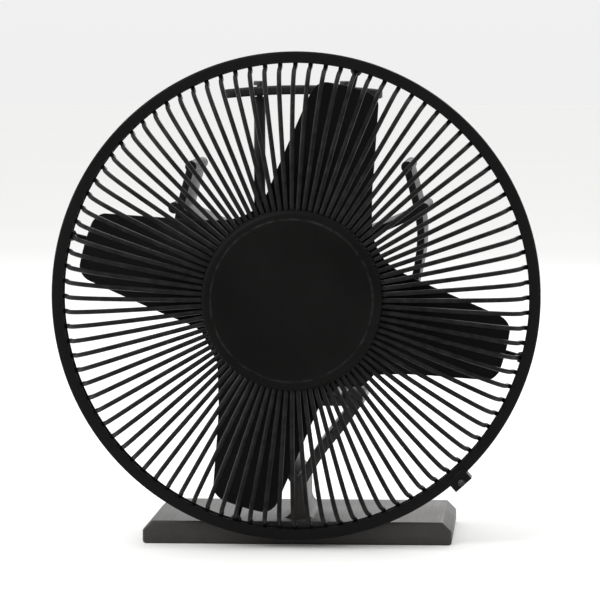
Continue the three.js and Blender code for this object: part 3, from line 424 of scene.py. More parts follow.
def prism(bm, outlines, front, back, ease=0.0, place=upright):
    """Outlines in X and Z, filled and drawn out along Y, with eased rims at both ends."""
    arc = [(ease * (1 - math.sin(t)), ease * (1 - math.cos(t))) for t in ARC_TURNS] if ease else [(0, 0)]
    levels = [(depth, front + drop) for depth, drop in arc]
    levels += [(depth, back - drop) for depth, drop in reversed(arc)]
    made = []
    for outline in outlines:
        rings = [[place(x, y, z) for x, z in inset(outline, depth)] for depth, y in levels]
        for vertices in loft(bm, rings):
            made.extend(vertices)
    rims = [inset(outline, ease) for outline in outlines]
    outer = [rim for rim in rims if area(rim) > 0]
    holes = [rim for rim in rims if area(rim) < 0]
    points, triangles = covered(outer, holes)
    for y in (front, back):
        corners = [bm.verts.new(place(x, y, z)) for x, z in points]
        made.extend(corners)
        for face in triangles:
            bm.faces.new([corners[index] for index in face])
    bmesh.ops.remove_doubles(bm, verts=made, dist=TINY)


def block(bm, low, high):
    plan = ((low.x, low.y), (high.x, low.y), (high.x, high.y), (low.x, high.y))
    corners = [[Vector((x, y, z)) for x, y in plan] for z in (low.z, high.z)]
    bottom, top = loft(bm, corners)
    bm.faces.new(bottom)
    bm.faces.new(top)


def extrusion(bm, outlines):
    """Outlines with filleted roots, drawn out over the depth of the extruded pieces."""
    filleted = [eased(outline, 2 * FINE_EASE, ROOT_FILLET) for outline in outlines]
    prism(bm, filleted, -PROFILE_HALF, PROFILE_HALF, FINE_EASE)


def joined(bm, other, operation):
    """The mesh with another one added to it or taken out of it."""
    holders = []
    for source in (bm, other):
        bmesh.ops.recalc_face_normals(source, faces=source.faces)
        mesh = bpy.data.meshes.new("joining")
        source.to_mesh(mesh)
        source.free()
        holder = bpy.data.objects.new("joining", mesh)
        bpy.context.scene.collection.objects.link(holder)
        holders.append(holder)
    body, tool = holders
    modifier = body.modifiers.new("join", "BOOLEAN")
    modifier.operation = operation
    modifier.solver = "EXACT"
    modifier.object = tool
    bpy.context.view_layer.update()
    result = bpy.data.meshes.new_from_object(body.evaluated_get(bpy.context.evaluated_depsgraph_get()))
    whole = bmesh.new()
    whole.from_mesh(result)
    bmesh.ops.remove_doubles(whole, verts=whole.verts, dist=WELD)
    bmesh.ops.dissolve_degenerate(whole, edges=whole.edges, dist=WELD)
    loose = [vertex for vertex in whole.verts if not vertex.link_faces]
    bmesh.ops.delete(whole, geom=loose, context="VERTS")
    meshes = [result, *[holder.data for holder in holders]]
    for holder in holders:
        bpy.data.objects.remove(holder)
    for mesh in meshes:
        bpy.data.meshes.remove(mesh)
    return whole


def drill(bm, x, y, radius, bottom, top):
    spun(bm, [(0, bottom), (radius, bottom), (radius, top), (0, top)], sides=SMALL_SIDES,
         origin=Vector((x, y, 0)), axis=Z)


def piece(name, bm, slot, body="stand", nodes=()):
    """A finished object that rides on a body and stands for the named CAD nodes."""
    bmesh.ops.recalc_face_normals(bm, faces=bm.faces)
    mesh = bpy.data.meshes.new(name)
    bm.to_mesh(mesh)
    bm.free()
    mesh.shade_smooth()
    mesh.set_sharp_from_angle(angle=math.radians(SHARP_ANGLE))
    mesh.materials.append(FINISHES[slot])
    made = bpy.data.objects.new(name, mesh)
    bpy.context.scene.collection.objects.link(made)
    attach(made, body)
    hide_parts(*nodes)


def turned(name, profile, slot, node, body="stand", ease=FINE_EASE, sides=ROUND_SIDES, origin=AXIS, axis=Y):
    """A piece of one spun profile."""
    made = bmesh.new()
    spun(made, profile, ease, sides, origin, axis)
    piece(name, made, slot, body, [node])


def screw(name, slot, node, origin, axis, shank, length, head=HEAD, height=HEAD_HEIGHT):
    """A socket screw that points along its axis. Its head stands on the origin."""
    ease = height * SCREW_EASE_SHARE
    corner = ease * HEAD_CORNER_SHARE
    side = axis.orthogonal().normalized()
    other = axis.cross(side)
    hexagon = []
    for turn in even_turns(SMALL_SIDES):
        within = turn % (math.pi / 3) - math.pi / 6
        radius = head * SOCKET_SHARE * math.cos(math.pi / 6) / math.cos(within)
        hexagon.append(radius * (math.cos(turn) * side + math.sin(turn) * other))
    top = origin - axis * height
    floor = top + axis * height * SOCKET_DEPTH_SHARE
    outside = (
        (0, length), (shank - ease, length), (shank, length - ease), (shank, 0), (head, 0),
        (head, ease - height), (head - corner, corner - height), (head - ease, -height),
    )
    rings = [ring(origin + axis * place, axis, radius, SMALL_SIDES) for radius, place in outside]
    rings += [[top + place for place in hexagon], [floor + place for place in hexagon], [floor]]
    made = bmesh.new()
    loft(made, rings)
    piece(name, made, slot, nodes=[node])


# Finishes

class Finish:
    """A procedural finish in the making."""

    def __init__(self, name):
        self.material = bpy.data.materials.new(name)
        self.material.use_nodes = True
        self.tree = self.material.node_tree
        self.shader = self.tree.nodes["Principled BSDF"]
        self.place = self.node("ShaderNodeTexCoord").outputs["Object"]
        self.geometry = self.node("ShaderNodeNewGeometry")

    def node(self, kind, inputs=(), **settings):
        made = self.tree.nodes.new(kind)
        for name, value in settings.items():
            setattr(made, name, value)
        for name, value in dict(inputs).items():
            if isinstance(value, bpy.types.NodeSocket):
                self.tree.links.new(value, made.inputs[name])
            else:
                made.inputs[name].default_value = value
        return made

    def set(self, name, value):
        if isinstance(value, bpy.types.NodeSocket):
            self.tree.links.new(value, self.shader.inputs[name])
        else:
            self.shader.inputs[name].default_value = value

    def noise(self, scale, detail=BROAD_DETAIL, stretch=(1, 1, 1)):
        mapped = self.node("ShaderNodeMapping", {"Vector": self.place, "Scale": stretch}).outputs["Vector"]
        texture = self.node("ShaderNodeTexNoise", {"Vector": mapped, "Scale": scale, "Detail": detail})
        return texture.outputs["Fac"]

    def spread(self, value, limits, start=0.0, end=1.0):
        """value between two limits, spread out from start to end."""
        low, high = limits
        inputs = {"Value": value, "From Min": low, "From Max": high, "To Min": start, "To Max": end}
        return self.node("ShaderNodeMapRange", inputs).outputs["Result"]

    def math(self, operation, first, second):
        return self.node("ShaderNodeMath", {0: first, 1: second}, operation=operation).outputs["Value"]

    def tone(self, share, low, high):
        """A colour from low to high."""
        mix = self.node("ShaderNodeMix", data_type="RGBA")
        for index, value in ((MIX_SHARE, share), (MIX_LOW, low), (MIX_HIGH, high)):
            if isinstance(value, bpy.types.NodeSocket):
                self.tree.links.new(value, mix.inputs[index])
            else:
                mix.inputs[index].default_value = value if index == MIX_SHARE else (*value, 1)
        return mix.outputs[MIX_RESULT]

    def edges(self, radius, amount):
        """1 on edges, where wear and a painted highlight go, and 0 elsewhere, broken up by a noise."""
        bevel = self.node("ShaderNodeBevel", {"Radius": radius}, samples=BEVEL_SAMPLES)
        normals = {0: bevel.outputs["Normal"], 1: self.geometry.outputs["Normal"]}
        likeness = self.node("ShaderNodeVectorMath", normals, operation="DOT_PRODUCT").outputs["Value"]
        edge = self.spread(likeness, EDGE_LIKENESS)
        patches = self.spread(self.noise(PATCH_SCALE), PATCH_SHARES, 0.0, amount)
        return self.math("MULTIPLY", edge, patches)

    def tops(self):
        """1 where the surface faces up: the mask for dust and for a painted sheen on tops."""
        up = self.node("ShaderNodeSeparateXYZ", {"Vector": self.geometry.outputs["Normal"]}).outputs["Z"]
        return self.spread(up, TOP_SHARES)

    def relief(self, height, depth):
        bump = self.node("ShaderNodeBump", {"Height": height, "Distance": depth, "Strength": 1.0})
        self.set("Normal", bump.outputs["Normal"])


def coated(slot, low, high, rough, metallic=0.0, grain=900, stretch=(1, 1, 1), depth=FINE_DEPTH,
           edge_wear_and_highlight_tone=None, edge_wear_and_highlight_share=0.0, edge=EDGE_RADIUS, dust_and_sheen=0.0, gleam=0.5):
    """A finish with broad changes of tone, a fine grain, and where asked lighter edges, part wear and part
    painted highlight, and lighter specks on top, part dust and part painted sheen.
    """
    made = Finish(slot)
    broad = made.noise(BROAD_SCALE)
    fine = made.noise(grain, FINE_DETAIL, stretch)
    shade = made.math("ADD", made.spread(broad, BROAD_RANGE, 0, BROAD_WEIGHT),
                      made.spread(fine, NOISE_RANGE, 0, FINE_WEIGHT))
    colour = made.tone(shade, low, high)
    gloss = made.math("ADD", made.spread(broad, NOISE_RANGE, *rough),
                      made.spread(fine, NOISE_RANGE, -GLOSS_SPREAD, GLOSS_SPREAD))
    # Lighter specks on up-facing surfaces: dust, and a painted sheen where the tops catch the light.
    if dust_and_sheen:
        dust_and_sheen_drifts = made.spread(made.noise(DUST_AND_SHEEN_SCALE, FINE_DETAIL), NOISE_RANGE, DUST_AND_SHEEN_LEAST)
        dust_and_sheen_specks = made.spread(made.noise(SPECK_SCALE, FINE_DETAIL), SPECK_RANGE, 0, dust_and_sheen)
        dust_and_sheen_mask = made.math("MULTIPLY", made.tops(), made.math("MULTIPLY", dust_and_sheen_drifts, dust_and_sheen_specks))
        colour = made.tone(dust_and_sheen_mask, colour, DUST_AND_SHEEN_TONE)
    # Edges get a lighter tone: part wear, part a painted highlight along them.
    if edge_wear_and_highlight_tone:
        edge_wear_and_highlight_mask = made.edges(edge, edge_wear_and_highlight_share)
        colour = made.tone(edge_wear_and_highlight_mask, colour, edge_wear_and_highlight_tone)
        gloss = made.math("SUBTRACT", gloss, made.math("MULTIPLY", edge_wear_and_highlight_mask, EDGE_WEAR_AND_HIGHLIGHT_GLOSS))
    made.set("Base Color", colour)
    made.set("Roughness", gloss)
    made.set("Metallic", metallic)
    made.set("Specular IOR Level", gleam)
    made.relief(fine, depth)
    return made.material


def pellets():
    """Dark pellets between copper tabs, told apart by their height."""
    made = Finish("pellet")
    height = made.node("ShaderNodeSeparateXYZ", {"Vector": made.place}).outputs["Z"]
    low = made.math("LESS_THAN", height, PELLET_BOTTOM + TAB_THICKNESS)
    high = made.math("GREATER_THAN", height, PELLET_TOP - TAB_THICKNESS)
    grain = made.noise(PELLET_GRAIN, FINE_DETAIL)
    body, tabs = made.tone(grain, *PELLET_TONES), made.tone(grain, *TAB_TONES)
    made.set("Base Color", made.tone(made.math("ADD", low, high), body, tabs))
    made.set("Roughness", made.spread(grain, NOISE_RANGE, *PELLET_GLOSS))
    made.set("Metallic", PELLET_METAL)
    made.relief(grain, FINE_DEPTH)
    return made.material


ALONG_Y, ROUND_Y = (1, 0.012, 1), (0.04, 1, 0.04)
# The lighter tone on edges is part wear, part painted highlight.
# The share of lighter specks on up-facing surfaces is part dust, part painted sheen.
COATINGS = {
    "foot_metal": dict(low=(0.022, 0.02, 0.019), high=(0.045, 0.041, 0.039), rough=(0.4, 0.5),
                       metallic=0.55, grain=1300, stretch=ALONG_Y, depth=0.000025,
                       edge_wear_and_highlight_tone=(0.2, 0.185, 0.175), edge_wear_and_highlight_share=0.5, dust_and_sheen=0.3),
    "sink_black": dict(low=(0.003, 0.003, 0.0032), high=(0.0085, 0.0085, 0.009), rough=(0.4, 0.52),
                       metallic=0.1, grain=1300, stretch=ALONG_Y, depth=0.00005,
                       edge_wear_and_highlight_tone=(0.12, 0.12, 0.12), edge_wear_and_highlight_share=0.5, dust_and_sheen=0.14, gleam=0.16),
    "blade_black": dict(low=(0.0018, 0.0018, 0.0018), high=(0.005, 0.005, 0.0052), rough=(0.34, 0.48),
                        grain=1500, depth=0.00003, edge_wear_and_highlight_tone=(0.09, 0.09, 0.09), edge_wear_and_highlight_share=0.45, edge=BLADE_EDGE,
                        gleam=0.07),
    "guard_black": dict(low=(0.0012, 0.0012, 0.0013), high=(0.003, 0.003, 0.0032), rough=(0.28, 0.42),
                        grain=1800, depth=0.00003, edge_wear_and_highlight_tone=(0.08, 0.08, 0.08), edge_wear_and_highlight_share=0.4, gleam=0.09),
    "cap_black": dict(low=(0.0014, 0.0014, 0.0013), high=(0.0042, 0.0042, 0.004), rough=(0.32, 0.44),
                      grain=1600, depth=0.00004, edge_wear_and_highlight_tone=(0.08, 0.08, 0.08), edge_wear_and_highlight_share=0.4, gleam=0.055),
    "handle_black": dict(low=(0.0035, 0.0035, 0.0035), high=(0.01, 0.01, 0.01), rough=(0.4, 0.54),
                         grain=1500, depth=0.00006, edge_wear_and_highlight_tone=(0.16, 0.16, 0.16), edge_wear_and_highlight_share=0.7, dust_and_sheen=0.12,
                         gleam=0.18),
    "steel": dict(low=(0.42, 0.42, 0.44), high=(0.6, 0.6, 0.62), rough=(0.24, 0.38), metallic=1.0,
                  stretch=ROUND_Y, depth=0.00001, edge_wear_and_highlight_tone=(0.75, 0.75, 0.76), edge_wear_and_highlight_share=0.4),
    "black_steel": dict(low=(0.018, 0.018, 0.02), high=(0.045, 0.045, 0.048), rough=(0.3, 0.42),
                        metallic=0.8, depth=0.00001, edge_wear_and_highlight_tone=(0.25, 0.25, 0.26), edge_wear_and_highlight_share=0.8),
    "brass": dict(low=(0.5, 0.36, 0.14), high=(0.64, 0.48, 0.22), rough=(0.24, 0.36), metallic=1.0,
                  grain=1200, stretch=ROUND_Y, depth=0.00001, edge_wear_and_highlight_tone=(0.75, 0.6, 0.32), edge_wear_and_highlight_share=0.4),
    "ceramic": dict(low=(0.74, 0.73, 0.68), high=(0.85, 0.84, 0.8), rough=(0.5, 0.62), grain=1500),
    "pad": dict(low=(0.34, 0.36, 0.39), high=(0.5, 0.52, 0.55), rough=(0.75, 0.9), grain=1200,
                depth=0.00005),
    "plastic": dict(low=(0.008, 0.008, 0.0085), high=(0.018, 0.018, 0.0185), rough=(0.45, 0.58),
                    grain=1400, depth=0.00006, edge_wear_and_highlight_tone=(0.07, 0.07, 0.07), edge_wear_and_highlight_share=0.4, gleam=0.3),
    "insulator": dict(low=(0.56, 0.5, 0.38), high=(0.72, 0.66, 0.53), rough=(0.45, 0.58), grain=1000),
    "ferrite": dict(low=(0.035, 0.032, 0.03), high=(0.07, 0.065, 0.06), rough=(0.7, 0.85), grain=1500,
                    depth=0.00004),
    "lamination": dict(low=(0.12, 0.12, 0.12), high=(0.28, 0.28, 0.28), rough=(0.35, 0.5), metallic=0.9,
                       grain=1500, stretch=ROUND_Y),
    "copper": dict(low=(0.5, 0.24, 0.11), high=(0.68, 0.36, 0.2), rough=(0.22, 0.4), metallic=1.0),
    "lead_red": dict(low=(0.3, 0.012, 0.012), high=(0.42, 0.024, 0.02), rough=(0.4, 0.55)),
    "lead_black": dict(low=(0.012, 0.012, 0.012), high=(0.026, 0.026, 0.026), rough=(0.4, 0.55)),
}
FINISHES = {slot: coated(slot, **values) for slot, values in COATINGS.items()}
FINISHES["pellet"] = pellets()
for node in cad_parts.values():
    for slot in node.material_slots:
        slot.material = FINISHES[slot.material.name]


# Hot base

def hot_base():
    foot = bmesh.new()
    chamfered = vectors(
        (-FOOT_HALF, 0), (FOOT_HALF, 0), (FOOT_HALF, FOOT_TOP - FOOT_CHAMFER),
        (FOOT_HALF - FOOT_CHAMFER, FOOT_TOP), (FOOT_CHAMFER - FOOT_HALF, FOOT_TOP),
        (-FOOT_HALF, FOOT_TOP - FOOT_CHAMFER),
    )
    flare = []
    for step in range(FILLET_STEPS + 1):
        turn = lerp(FLARE_START, math.pi / 2, step / FILLET_STEPS)
        flare.append(Vector((STEM_HALF + STEM_FLARE * (1 - math.sin(turn)),
                             FOOT_TOP + STEM_FLARE * (math.cos(FLARE_START) - math.cos(turn)))))
    reach = HOT_HALF - FORK_THICKNESS / 2
    rise = (HOT_BOTTOM + HOT_TOP) / 2 - FORK_Z
    fork = [Vector((reach * across, FORK_Z + rise * up)) for across, up in FORK_SHARES]
    stem = [*flare, Vector((STEM_HALF, FORK_Z)), Vector((-STEM_HALF, FORK_Z))]
    stem += [Vector((-point.x, point.y)) for point in flare[::-1]]
    stem += [Vector((-flare[0].x, FOOT_TOP - OVERLAP)), Vector((flare[0].x, FOOT_TOP - OVERLAP))]
    hot_plate = rectangle(HOT_HALF, HOT_BOTTOM, HOT_TOP)
    upper = section([stem, hot_plate, *both_sides(strip(fork, FORK_THICKNESS))])
    prism(foot, [eased(chamfered, 2 * FOOT_EASE, FOOT_EASE)], -FOOT_FRONT, FOOT_FRONT, FOOT_EASE)
    profile = bmesh.new()
    extrusion(profile, upper)
    holes = bmesh.new()
    half, front, back, depth = STRIP_GROOVE
    block(holes, Vector((-half, front, -OVERLAP)), Vector((half, back, depth)))
    for x, y in CLAMP_PLACES:
        drill(holes, x, y, BUSH_BORE, HOT_BOTTOM - OVERLAP, HOT_TOP + OVERLAP)
    whole = joined(joined(foot, profile, "UNION"), holes, "DIFFERENCE")
    piece("foot_and_fork", whole, "foot_metal", nodes=["hot_base"])


hot_base()


# Thermoelectric module

grid = bmesh.new()
pitch = 2 * PELLET_HALF / PELLET_COUNT
for row in range(PELLET_COUNT):
    for column in range(PELLET_COUNT):
        corner = Vector((column * pitch - PELLET_HALF, row * pitch - PELLET_HALF, PELLET_BOTTOM))
        margin = pitch * (1 - PELLET_SHARE) / 2
        size = pitch * PELLET_SHARE
        low = corner + Vector((margin, margin, 0))
        block(grid, low, low + Vector((size, size, PELLET_TOP - PELLET_BOTTOM)))
piece("pellet_grid", grid, "pellet", nodes=["module_pellets"])


# Cold heat sink

def cold_sink():
    plate_middle = COLD_BOTTOM + FIN_THICKNESS / 2
    outer = [Vector((OUTER_REACH * x, lerp(plate_middle, OUTER_TOP, z))) for x, z in OUTER_SHARES]
    bridge_middle = (BRIDGE_BOTTOM + BRIDGE_TOP) / 2
    nub = AXIS_Z + NUB_RISE
    arm_start = Vector((BRIDGE_HALF - 2 * (BRIDGE_TOP - bridge_middle), bridge_middle))
    arm = [arm_start, Vector(((BRIDGE_HALF + NUB_REACH) / 2, (bridge_middle + nub) / 2)),
           Vector((NUB_REACH - TIP_RADIUS / 2, nub))]
    inner = [Vector((INNER_REACH * x, lerp(INNER_BOTTOM, INNER_TOP, z))) for x, z in INNER_SHARES]
    taper = COLD_TAPER
    half = [Vector((COLD_HALF, COLD_TOP)), Vector((COLD_HALF, COLD_BOTTOM + taper)),
            Vector((COLD_HALF - 2 * taper, COLD_BOTTOM))]
    parts = [
        half + mirrored(half),
        rectangle(NECK_HALF, COLD_TOP - OVERLAP, AXIS_Z - BORE_RADIUS - OVERLAP),
        rectangle(NECK_HALF, AXIS_Z + BORE_RADIUS + OVERLAP, BRIDGE_TOP - OVERLAP),
        rectangle(BRIDGE_HALF, BRIDGE_BOTTOM, BRIDGE_TOP),
        circle(RING_OUTER, ROUND_SIDES),
    ]
    for line in (outer, arm, inner):
        parts += both_sides(strip(line, FIN_THICKNESS))
        parts += both_sides(circle(TIP_RADIUS, SMALL_SIDES, line[-1].x, line[-1].y))
    parts += quarter_circles(PORT_RADIUS, PORT_CIRCLE)
    body = bmesh.new()
    extrusion(body, section(parts, [circle(BORE_RADIUS, ROUND_SIDES)]))
    holes = bmesh.new()
    for x, y in CLAMP_PLACES:
        drill(holes, x, y, BUSH_SLEEVE + HOLE_GAP, COLD_BOTTOM - OVERLAP, COLD_TOP + OVERLAP)
    for x in (-POST_X, POST_X):
        drill(holes, x, 0, SHANK + HOLE_GAP, BRIDGE_BOTTOM - OVERLAP, BRIDGE_TOP + OVERLAP)
    drill(holes, 0, (MOTOR_FRONT + MOTOR_BACK) / 2, SHANK + HOLE_GAP, AXIS_Z, BRIDGE_TOP + OVERLAP)
    piece("cold_sink", joined(body, holes, "DIFFERENCE"), "sink_black", nodes=["cold_heat_sink"])


cold_sink()


# Clamp screws in their bushes

for number, (x, y) in enumerate(CLAMP_PLACES, 1):
    turned(f"bush_{number}", [
        (BUSH_BORE, BUSH_FLANGE), (BUSH_BORE, -BUSH_LENGTH), (BUSH_SLEEVE, -BUSH_LENGTH), (BUSH_SLEEVE, 0),
        (BUSH_FLANGE_RADIUS, 0), (BUSH_FLANGE_RADIUS, BUSH_FLANGE),
    ], "insulator", f"clamp_bush_{number}", sides=SMALL_SIDES, origin=Vector((x, y, BUSH_SEAT)), axis=Z)
    screw(f"clamp_bolt_{number}", "steel", f"clamp_screw_{number}", Vector((x, y, CLAMP_SEAT)), -Z,
          SHANK, CLAMP_LENGTH)


# Handle

def rounded(half_width, half_height, radius):
    """A rectangle about the origin with round corners, always with the same count of points."""
    points = []
    for index, (x, z) in enumerate(((1, 1), (-1, 1), (-1, -1), (1, -1))):
        for step in range(ARC_STEPS + 1):
            turn = math.pi / 2 * (index + step / ARC_STEPS)
            points.append(((half_width - radius) * x + radius * math.cos(turn),
                           (half_height - radius) * z + radius * math.sin(turn)))
    return points


def handle_middle(x):
    return HANDLE_TOP - HANDLE_THICKNESS / 2 - HANDLE_ARCH * (x / HANDLE_HALF) ** 2


def handle():
    bar = bmesh.new()
    rings = []
    for step in range(HANDLE_STEPS + 1):
        x = HANDLE_HALF * math.sin(math.pi * (step / HANDLE_STEPS - 1 / 2))
        into_corner = max(0, abs(x) - (HANDLE_HALF - HANDLE_CORNER))
        corner = HANDLE_CORNER - math.sqrt(max(0, HANDLE_CORNER ** 2 - into_corner ** 2))
        into_edge = max(0, abs(x) - (HANDLE_HALF - HANDLE_EASE))
        edge = HANDLE_EASE - math.sqrt(max(0, HANDLE_EASE ** 2 - into_edge ** 2))
        radius = max(HANDLE_EASE - edge, TINY)
        outline = rounded(HANDLE_WIDTH / 2 - max(corner, edge), HANDLE_THICKNESS / 2 - edge, radius)
        rings.append([Vector((x, y, handle_middle(x) + z)) for y, z in outline])
    made = loft(bar, rings)
    bar.faces.new(made[0])
    bar.faces.new(made[-1])
    piece("carrying_bar", bar, "handle_black", nodes=["handle_bar"])
    for side, sign in (("left", -1), ("right", 1)):
        turned(f"post_{side}", [
            (0, POST_STUB), (SHANK, POST_STUB), (SHANK, POST_BOTTOM), (POST_RADIUS, POST_BOTTOM),
            (POST_RADIUS, POST_TOP), (0, POST_TOP),
        ], "handle_black", f"handle_post_{side}", sides=SMALL_SIDES, origin=X * sign * POST_X, axis=Z)
        screw(f"bar_screw_{side}", "black_steel", f"handle_screw_{side}",
              Vector((sign * POST_X, 0, HANDLE_SCREW_SEAT)), -Z, HANDLE_SCREW_SHANK, HANDLE_SCREW_LENGTH)


handle()


# Motor

can_inside = MOTOR_RADIUS - MOTOR_WALL
turned("motor_shell", [
    (MOTOR_BUSH_HOLE, MOTOR_FRONT), (MOTOR_RADIUS, MOTOR_FRONT), (MOTOR_RADIUS, MOTOR_BACK),
    (can_inside, MOTOR_BACK), (can_inside, MOTOR_FRONT + MOTOR_WALL),
    (MOTOR_BUSH_HOLE, MOTOR_FRONT + MOTOR_WALL),
], "steel", "motor_can", ease=SOFT_EASE)
turned("front_bearing", [
    (MOTOR_BUSH_BORE, MOTOR_BUSH_FRONT), (MOTOR_BUSH, MOTOR_BUSH_FRONT), (MOTOR_BUSH, MOTOR_BUSH_BACK),
    (MOTOR_BUSH_BORE, MOTOR_BUSH_BACK),
], "brass", "motor_front_bush", sides=SMALL_SIDES)
turned("drive_shaft", [
    (0, SHAFT_FRONT), (SHAFT_RADIUS, SHAFT_FRONT), (SHAFT_RADIUS, SHAFT_BACK), (0, SHAFT_BACK),
], "steel", "motor_shaft", "rotor", sides=SMALL_SIDES)
cover = bmesh.new()
notch = rectangle(COVER_NOTCH, AXIS_Z - RING_OUTER, COVER_NOTCH_TOP)
notched = section([circle(MOTOR_RADIUS, ROUND_SIDES)], [notch])
notched = [eased(outline, 2 * SOFT_EASE, SOFT_EASE) for outline in notched]
prism(cover, notched, COVER_FRONT, COVER_BACK, COVER_EASE)
piece("rear_cover", cover, "plastic", nodes=["motor_rear_cover"])


# Leads

def knot_curve(points, steps):
    """Points along the smooth centripetal line through points."""
    line = [2 * points[0] - points[1], *points, 2 * points[-1] - points[-2]]
    last = len(points) - 1
    result = []
    for step in range(steps + 1):
        place = step / steps * last
        index = min(int(place), last - 1)
        t = place - index
        a, b, c, d = line[index:index + 4]
        before, here, after = [math.sqrt((q - p).length) for p, q in ((a, b), (b, c), (c, d))]
        out = ((b - a) / before - (c - a) / (before + here) + (c - b) / here) * here
        into = ((c - b) / here - (d - b) / (here + after) + (d - c) / after) * here
        square, cube = 3 * c - 3 * b - 2 * out - into, 2 * b - 2 * c + out + into
        result.append(b + out * t + square * t ** 2 + cube * t ** 3)
    return result


for name, sign in (("lead_red", -1), ("lead_black", 1)):
    lead = bmesh.new()
    route = [Vector((sign * x, y, z)) for x, y, z in LEAD_ROUTE]
    sweep(lead, knot_curve(route, LEAD_STEPS), LEAD_RADIUS, X, LEAD_SIDES)
    piece(name.replace("lead", "wire"), lead, name, nodes=[name])


# Rotor

def trailing(u):
    return TRAILING_ROOT + TRAILING_SLOPE * (u - FILLET_END)


def leading(u):
    return BLADE_OFFSET + LEADING_SLOPE * (u - FILLET_END)


def blade_section(low, high, reach, thinning=0.0):
    """Points round one row of a blade: u out along it, v clockwise across it, lift out of its plane."""
    middle = (low + high) / 2
    half = BLADE_THICKNESS / 2 - thinning
    ease = max(BLADE_EASE - thinning, TINY)
    across = [lerp(low + ease, high - ease, column / BLADE_COLUMNS) for column in range(BLADE_COLUMNS + 1)]
    arc = [math.pi * step / (2 * ARC_STEPS) for step in range(1, 2 * ARC_STEPS)]
    flat = half - ease
    edge = [(ease * math.sin(t), flat * ((t > math.pi / 2) - (t < math.pi / 2)) - ease * math.cos(t))
            for t in arc]
    outline = [(v, -half) for v in across]
    outline += [(high - ease + out, rise) for out, rise in edge]
    outline += [(v, half) for v in reversed(across)]
    outline += [(low + ease - out, -rise) for out, rise in edge]
    points = []
    for v, side in outline:
        u = reach(v)
        share = min(max((u - BLADE_OFFSET) / (TWIST_END - BLADE_OFFSET), 0), 1)
        twist = share * share * (3 - 2 * share) * math.tan(math.radians(BLADE_PITCH))
        points.append((u, v, twist * (v - middle) + side))
    return points


def blade_rows():
    rows = [blade_section(-BLADE_OFFSET, BLADE_OFFSET, lambda v: BLADE_OFFSET - OVERLAP)]
    corner = trailing(BLADE_OFFSET)
    for step in range(FILLET_STEPS + 1):
        t = step / FILLET_STEPS
        u = BLADE_OFFSET + (FILLET_END - BLADE_OFFSET) * t * t
        low = -(1 - t) ** 2 * BLADE_OFFSET + 2 * t * (1 - t) * corner + t * t * TRAILING_ROOT
        rows.append(blade_section(low, BLADE_OFFSET, lambda v, u=u: u))
    span = BLADE_REACH - FILLET_END
    tip_start = 1 - TIP_CORNER / span
    shares = [(tip_start * step / SPAN_STEPS, 0.0) for step in range(1, SPAN_STEPS + 1)]
    last_ease = BLADE_EASE / span
    for step in range(1, TIP_STEPS + 1):
        turn = math.pi / 2 * step / TIP_STEPS
        shares.append((lerp(tip_start, 1 - last_ease, math.sin(turn)), 0.0))
    for turn in ARC_TURNS[1:]:
        thinning = BLADE_EASE * (1 - math.cos(turn)) * (1 - REACH_SHARE / 2)
        shares.append((1 - last_ease + last_ease * math.sin(turn), thinning))
    for share, thinning in shares:
        into = max(0.0, share * span - (span - TIP_CORNER))
        corner_inset = TIP_CORNER - math.sqrt(max(0, TIP_CORNER ** 2 - into ** 2))
        along = FILLET_END + share * span

        def reach(v, share=share):
            return FILLET_END + share * (math.sqrt(BLADE_REACH ** 2 - v ** 2) - FILLET_END)

        low, high = trailing(along) + corner_inset, leading(along) - corner_inset
        rows.append(blade_section(low, high, reach, thinning))
    return rows


def rotor():
    sheet = bmesh.new()
    holes = [circle(BLADE_BORE, SMALL_SIDES), *quarter_circles(RIVET_SHANK + HOLE_GAP, RIVET_CIRCLE)]
    square = rectangle(BLADE_OFFSET, AXIS_Z - BLADE_OFFSET, AXIS_Z + BLADE_OFFSET)
    half = BLADE_THICKNESS / 2
    prism(sheet, section([square], holes), BLADE_Y - half, BLADE_Y + half)
    rows = blade_rows()
    for turn in even_turns(BLADE_COUNT):
        sine, cosine = math.sin(turn), math.cos(turn)
        arm = bmesh.new()
        made = loft(arm, [[Vector((u * sine + v * cosine, BLADE_Y + lift, AXIS_Z + u * cosine - v * sine))
                           for u, v, lift in row] for row in rows])
        arm.faces.new(made[0])
        arm.faces.new(made[-1])
        sheet = joined(sheet, arm, "UNION")
    piece("blade_sheet", sheet, "blade_black", "rotor", ["fan_blades"])
    turned("turned_hub", [
        (HUB_BORE, HUB_NOSE_Y), (HUB_RADIUS, HUB_NOSE_Y), (HUB_RADIUS, FLANGE_FRONT),
        (HUB_FLANGE, FLANGE_FRONT), (HUB_FLANGE, FLANGE_BACK), (HUB_RADIUS, FLANGE_BACK),
        (HUB_RADIUS, HUB_END), (HUB_BORE, HUB_END),
    ], "brass", "hub", "rotor", sides=SMALL_SIDES)
    head = RIVET_SEAT - RIVET_TOP
    dome = [(RIVET_HEAD * math.sin(t), RIVET_SEAT - head * math.cos(t)) for t in ARC_TURNS]
    profile = [*dome, (RIVET_SHANK, RIVET_SEAT), (RIVET_SHANK, RIVET_END), (0, RIVET_END)]
    for number, turn in enumerate(QUARTERS, 1):
        place = AXIS + RIVET_CIRCLE * directions(math.radians(turn))[0]
        turned(f"rivet_{number}", profile, "steel", f"hub_rivet_{number}", "rotor", 0, SMALL_SIDES, place)


rotor()


# Guard

def bead(bm, centre, radius):
    """A small flattened weld."""
    rings = []
    for step in range(ARC_STEPS + 1):
        turn = math.pi * step / ARC_STEPS
        middle = centre - Y * radius * BEAD_SHARE * math.cos(turn)
        rings.append(ring(middle, Y, radius * math.sin(turn), WIRE_SIDES))
    loft(bm, rings)


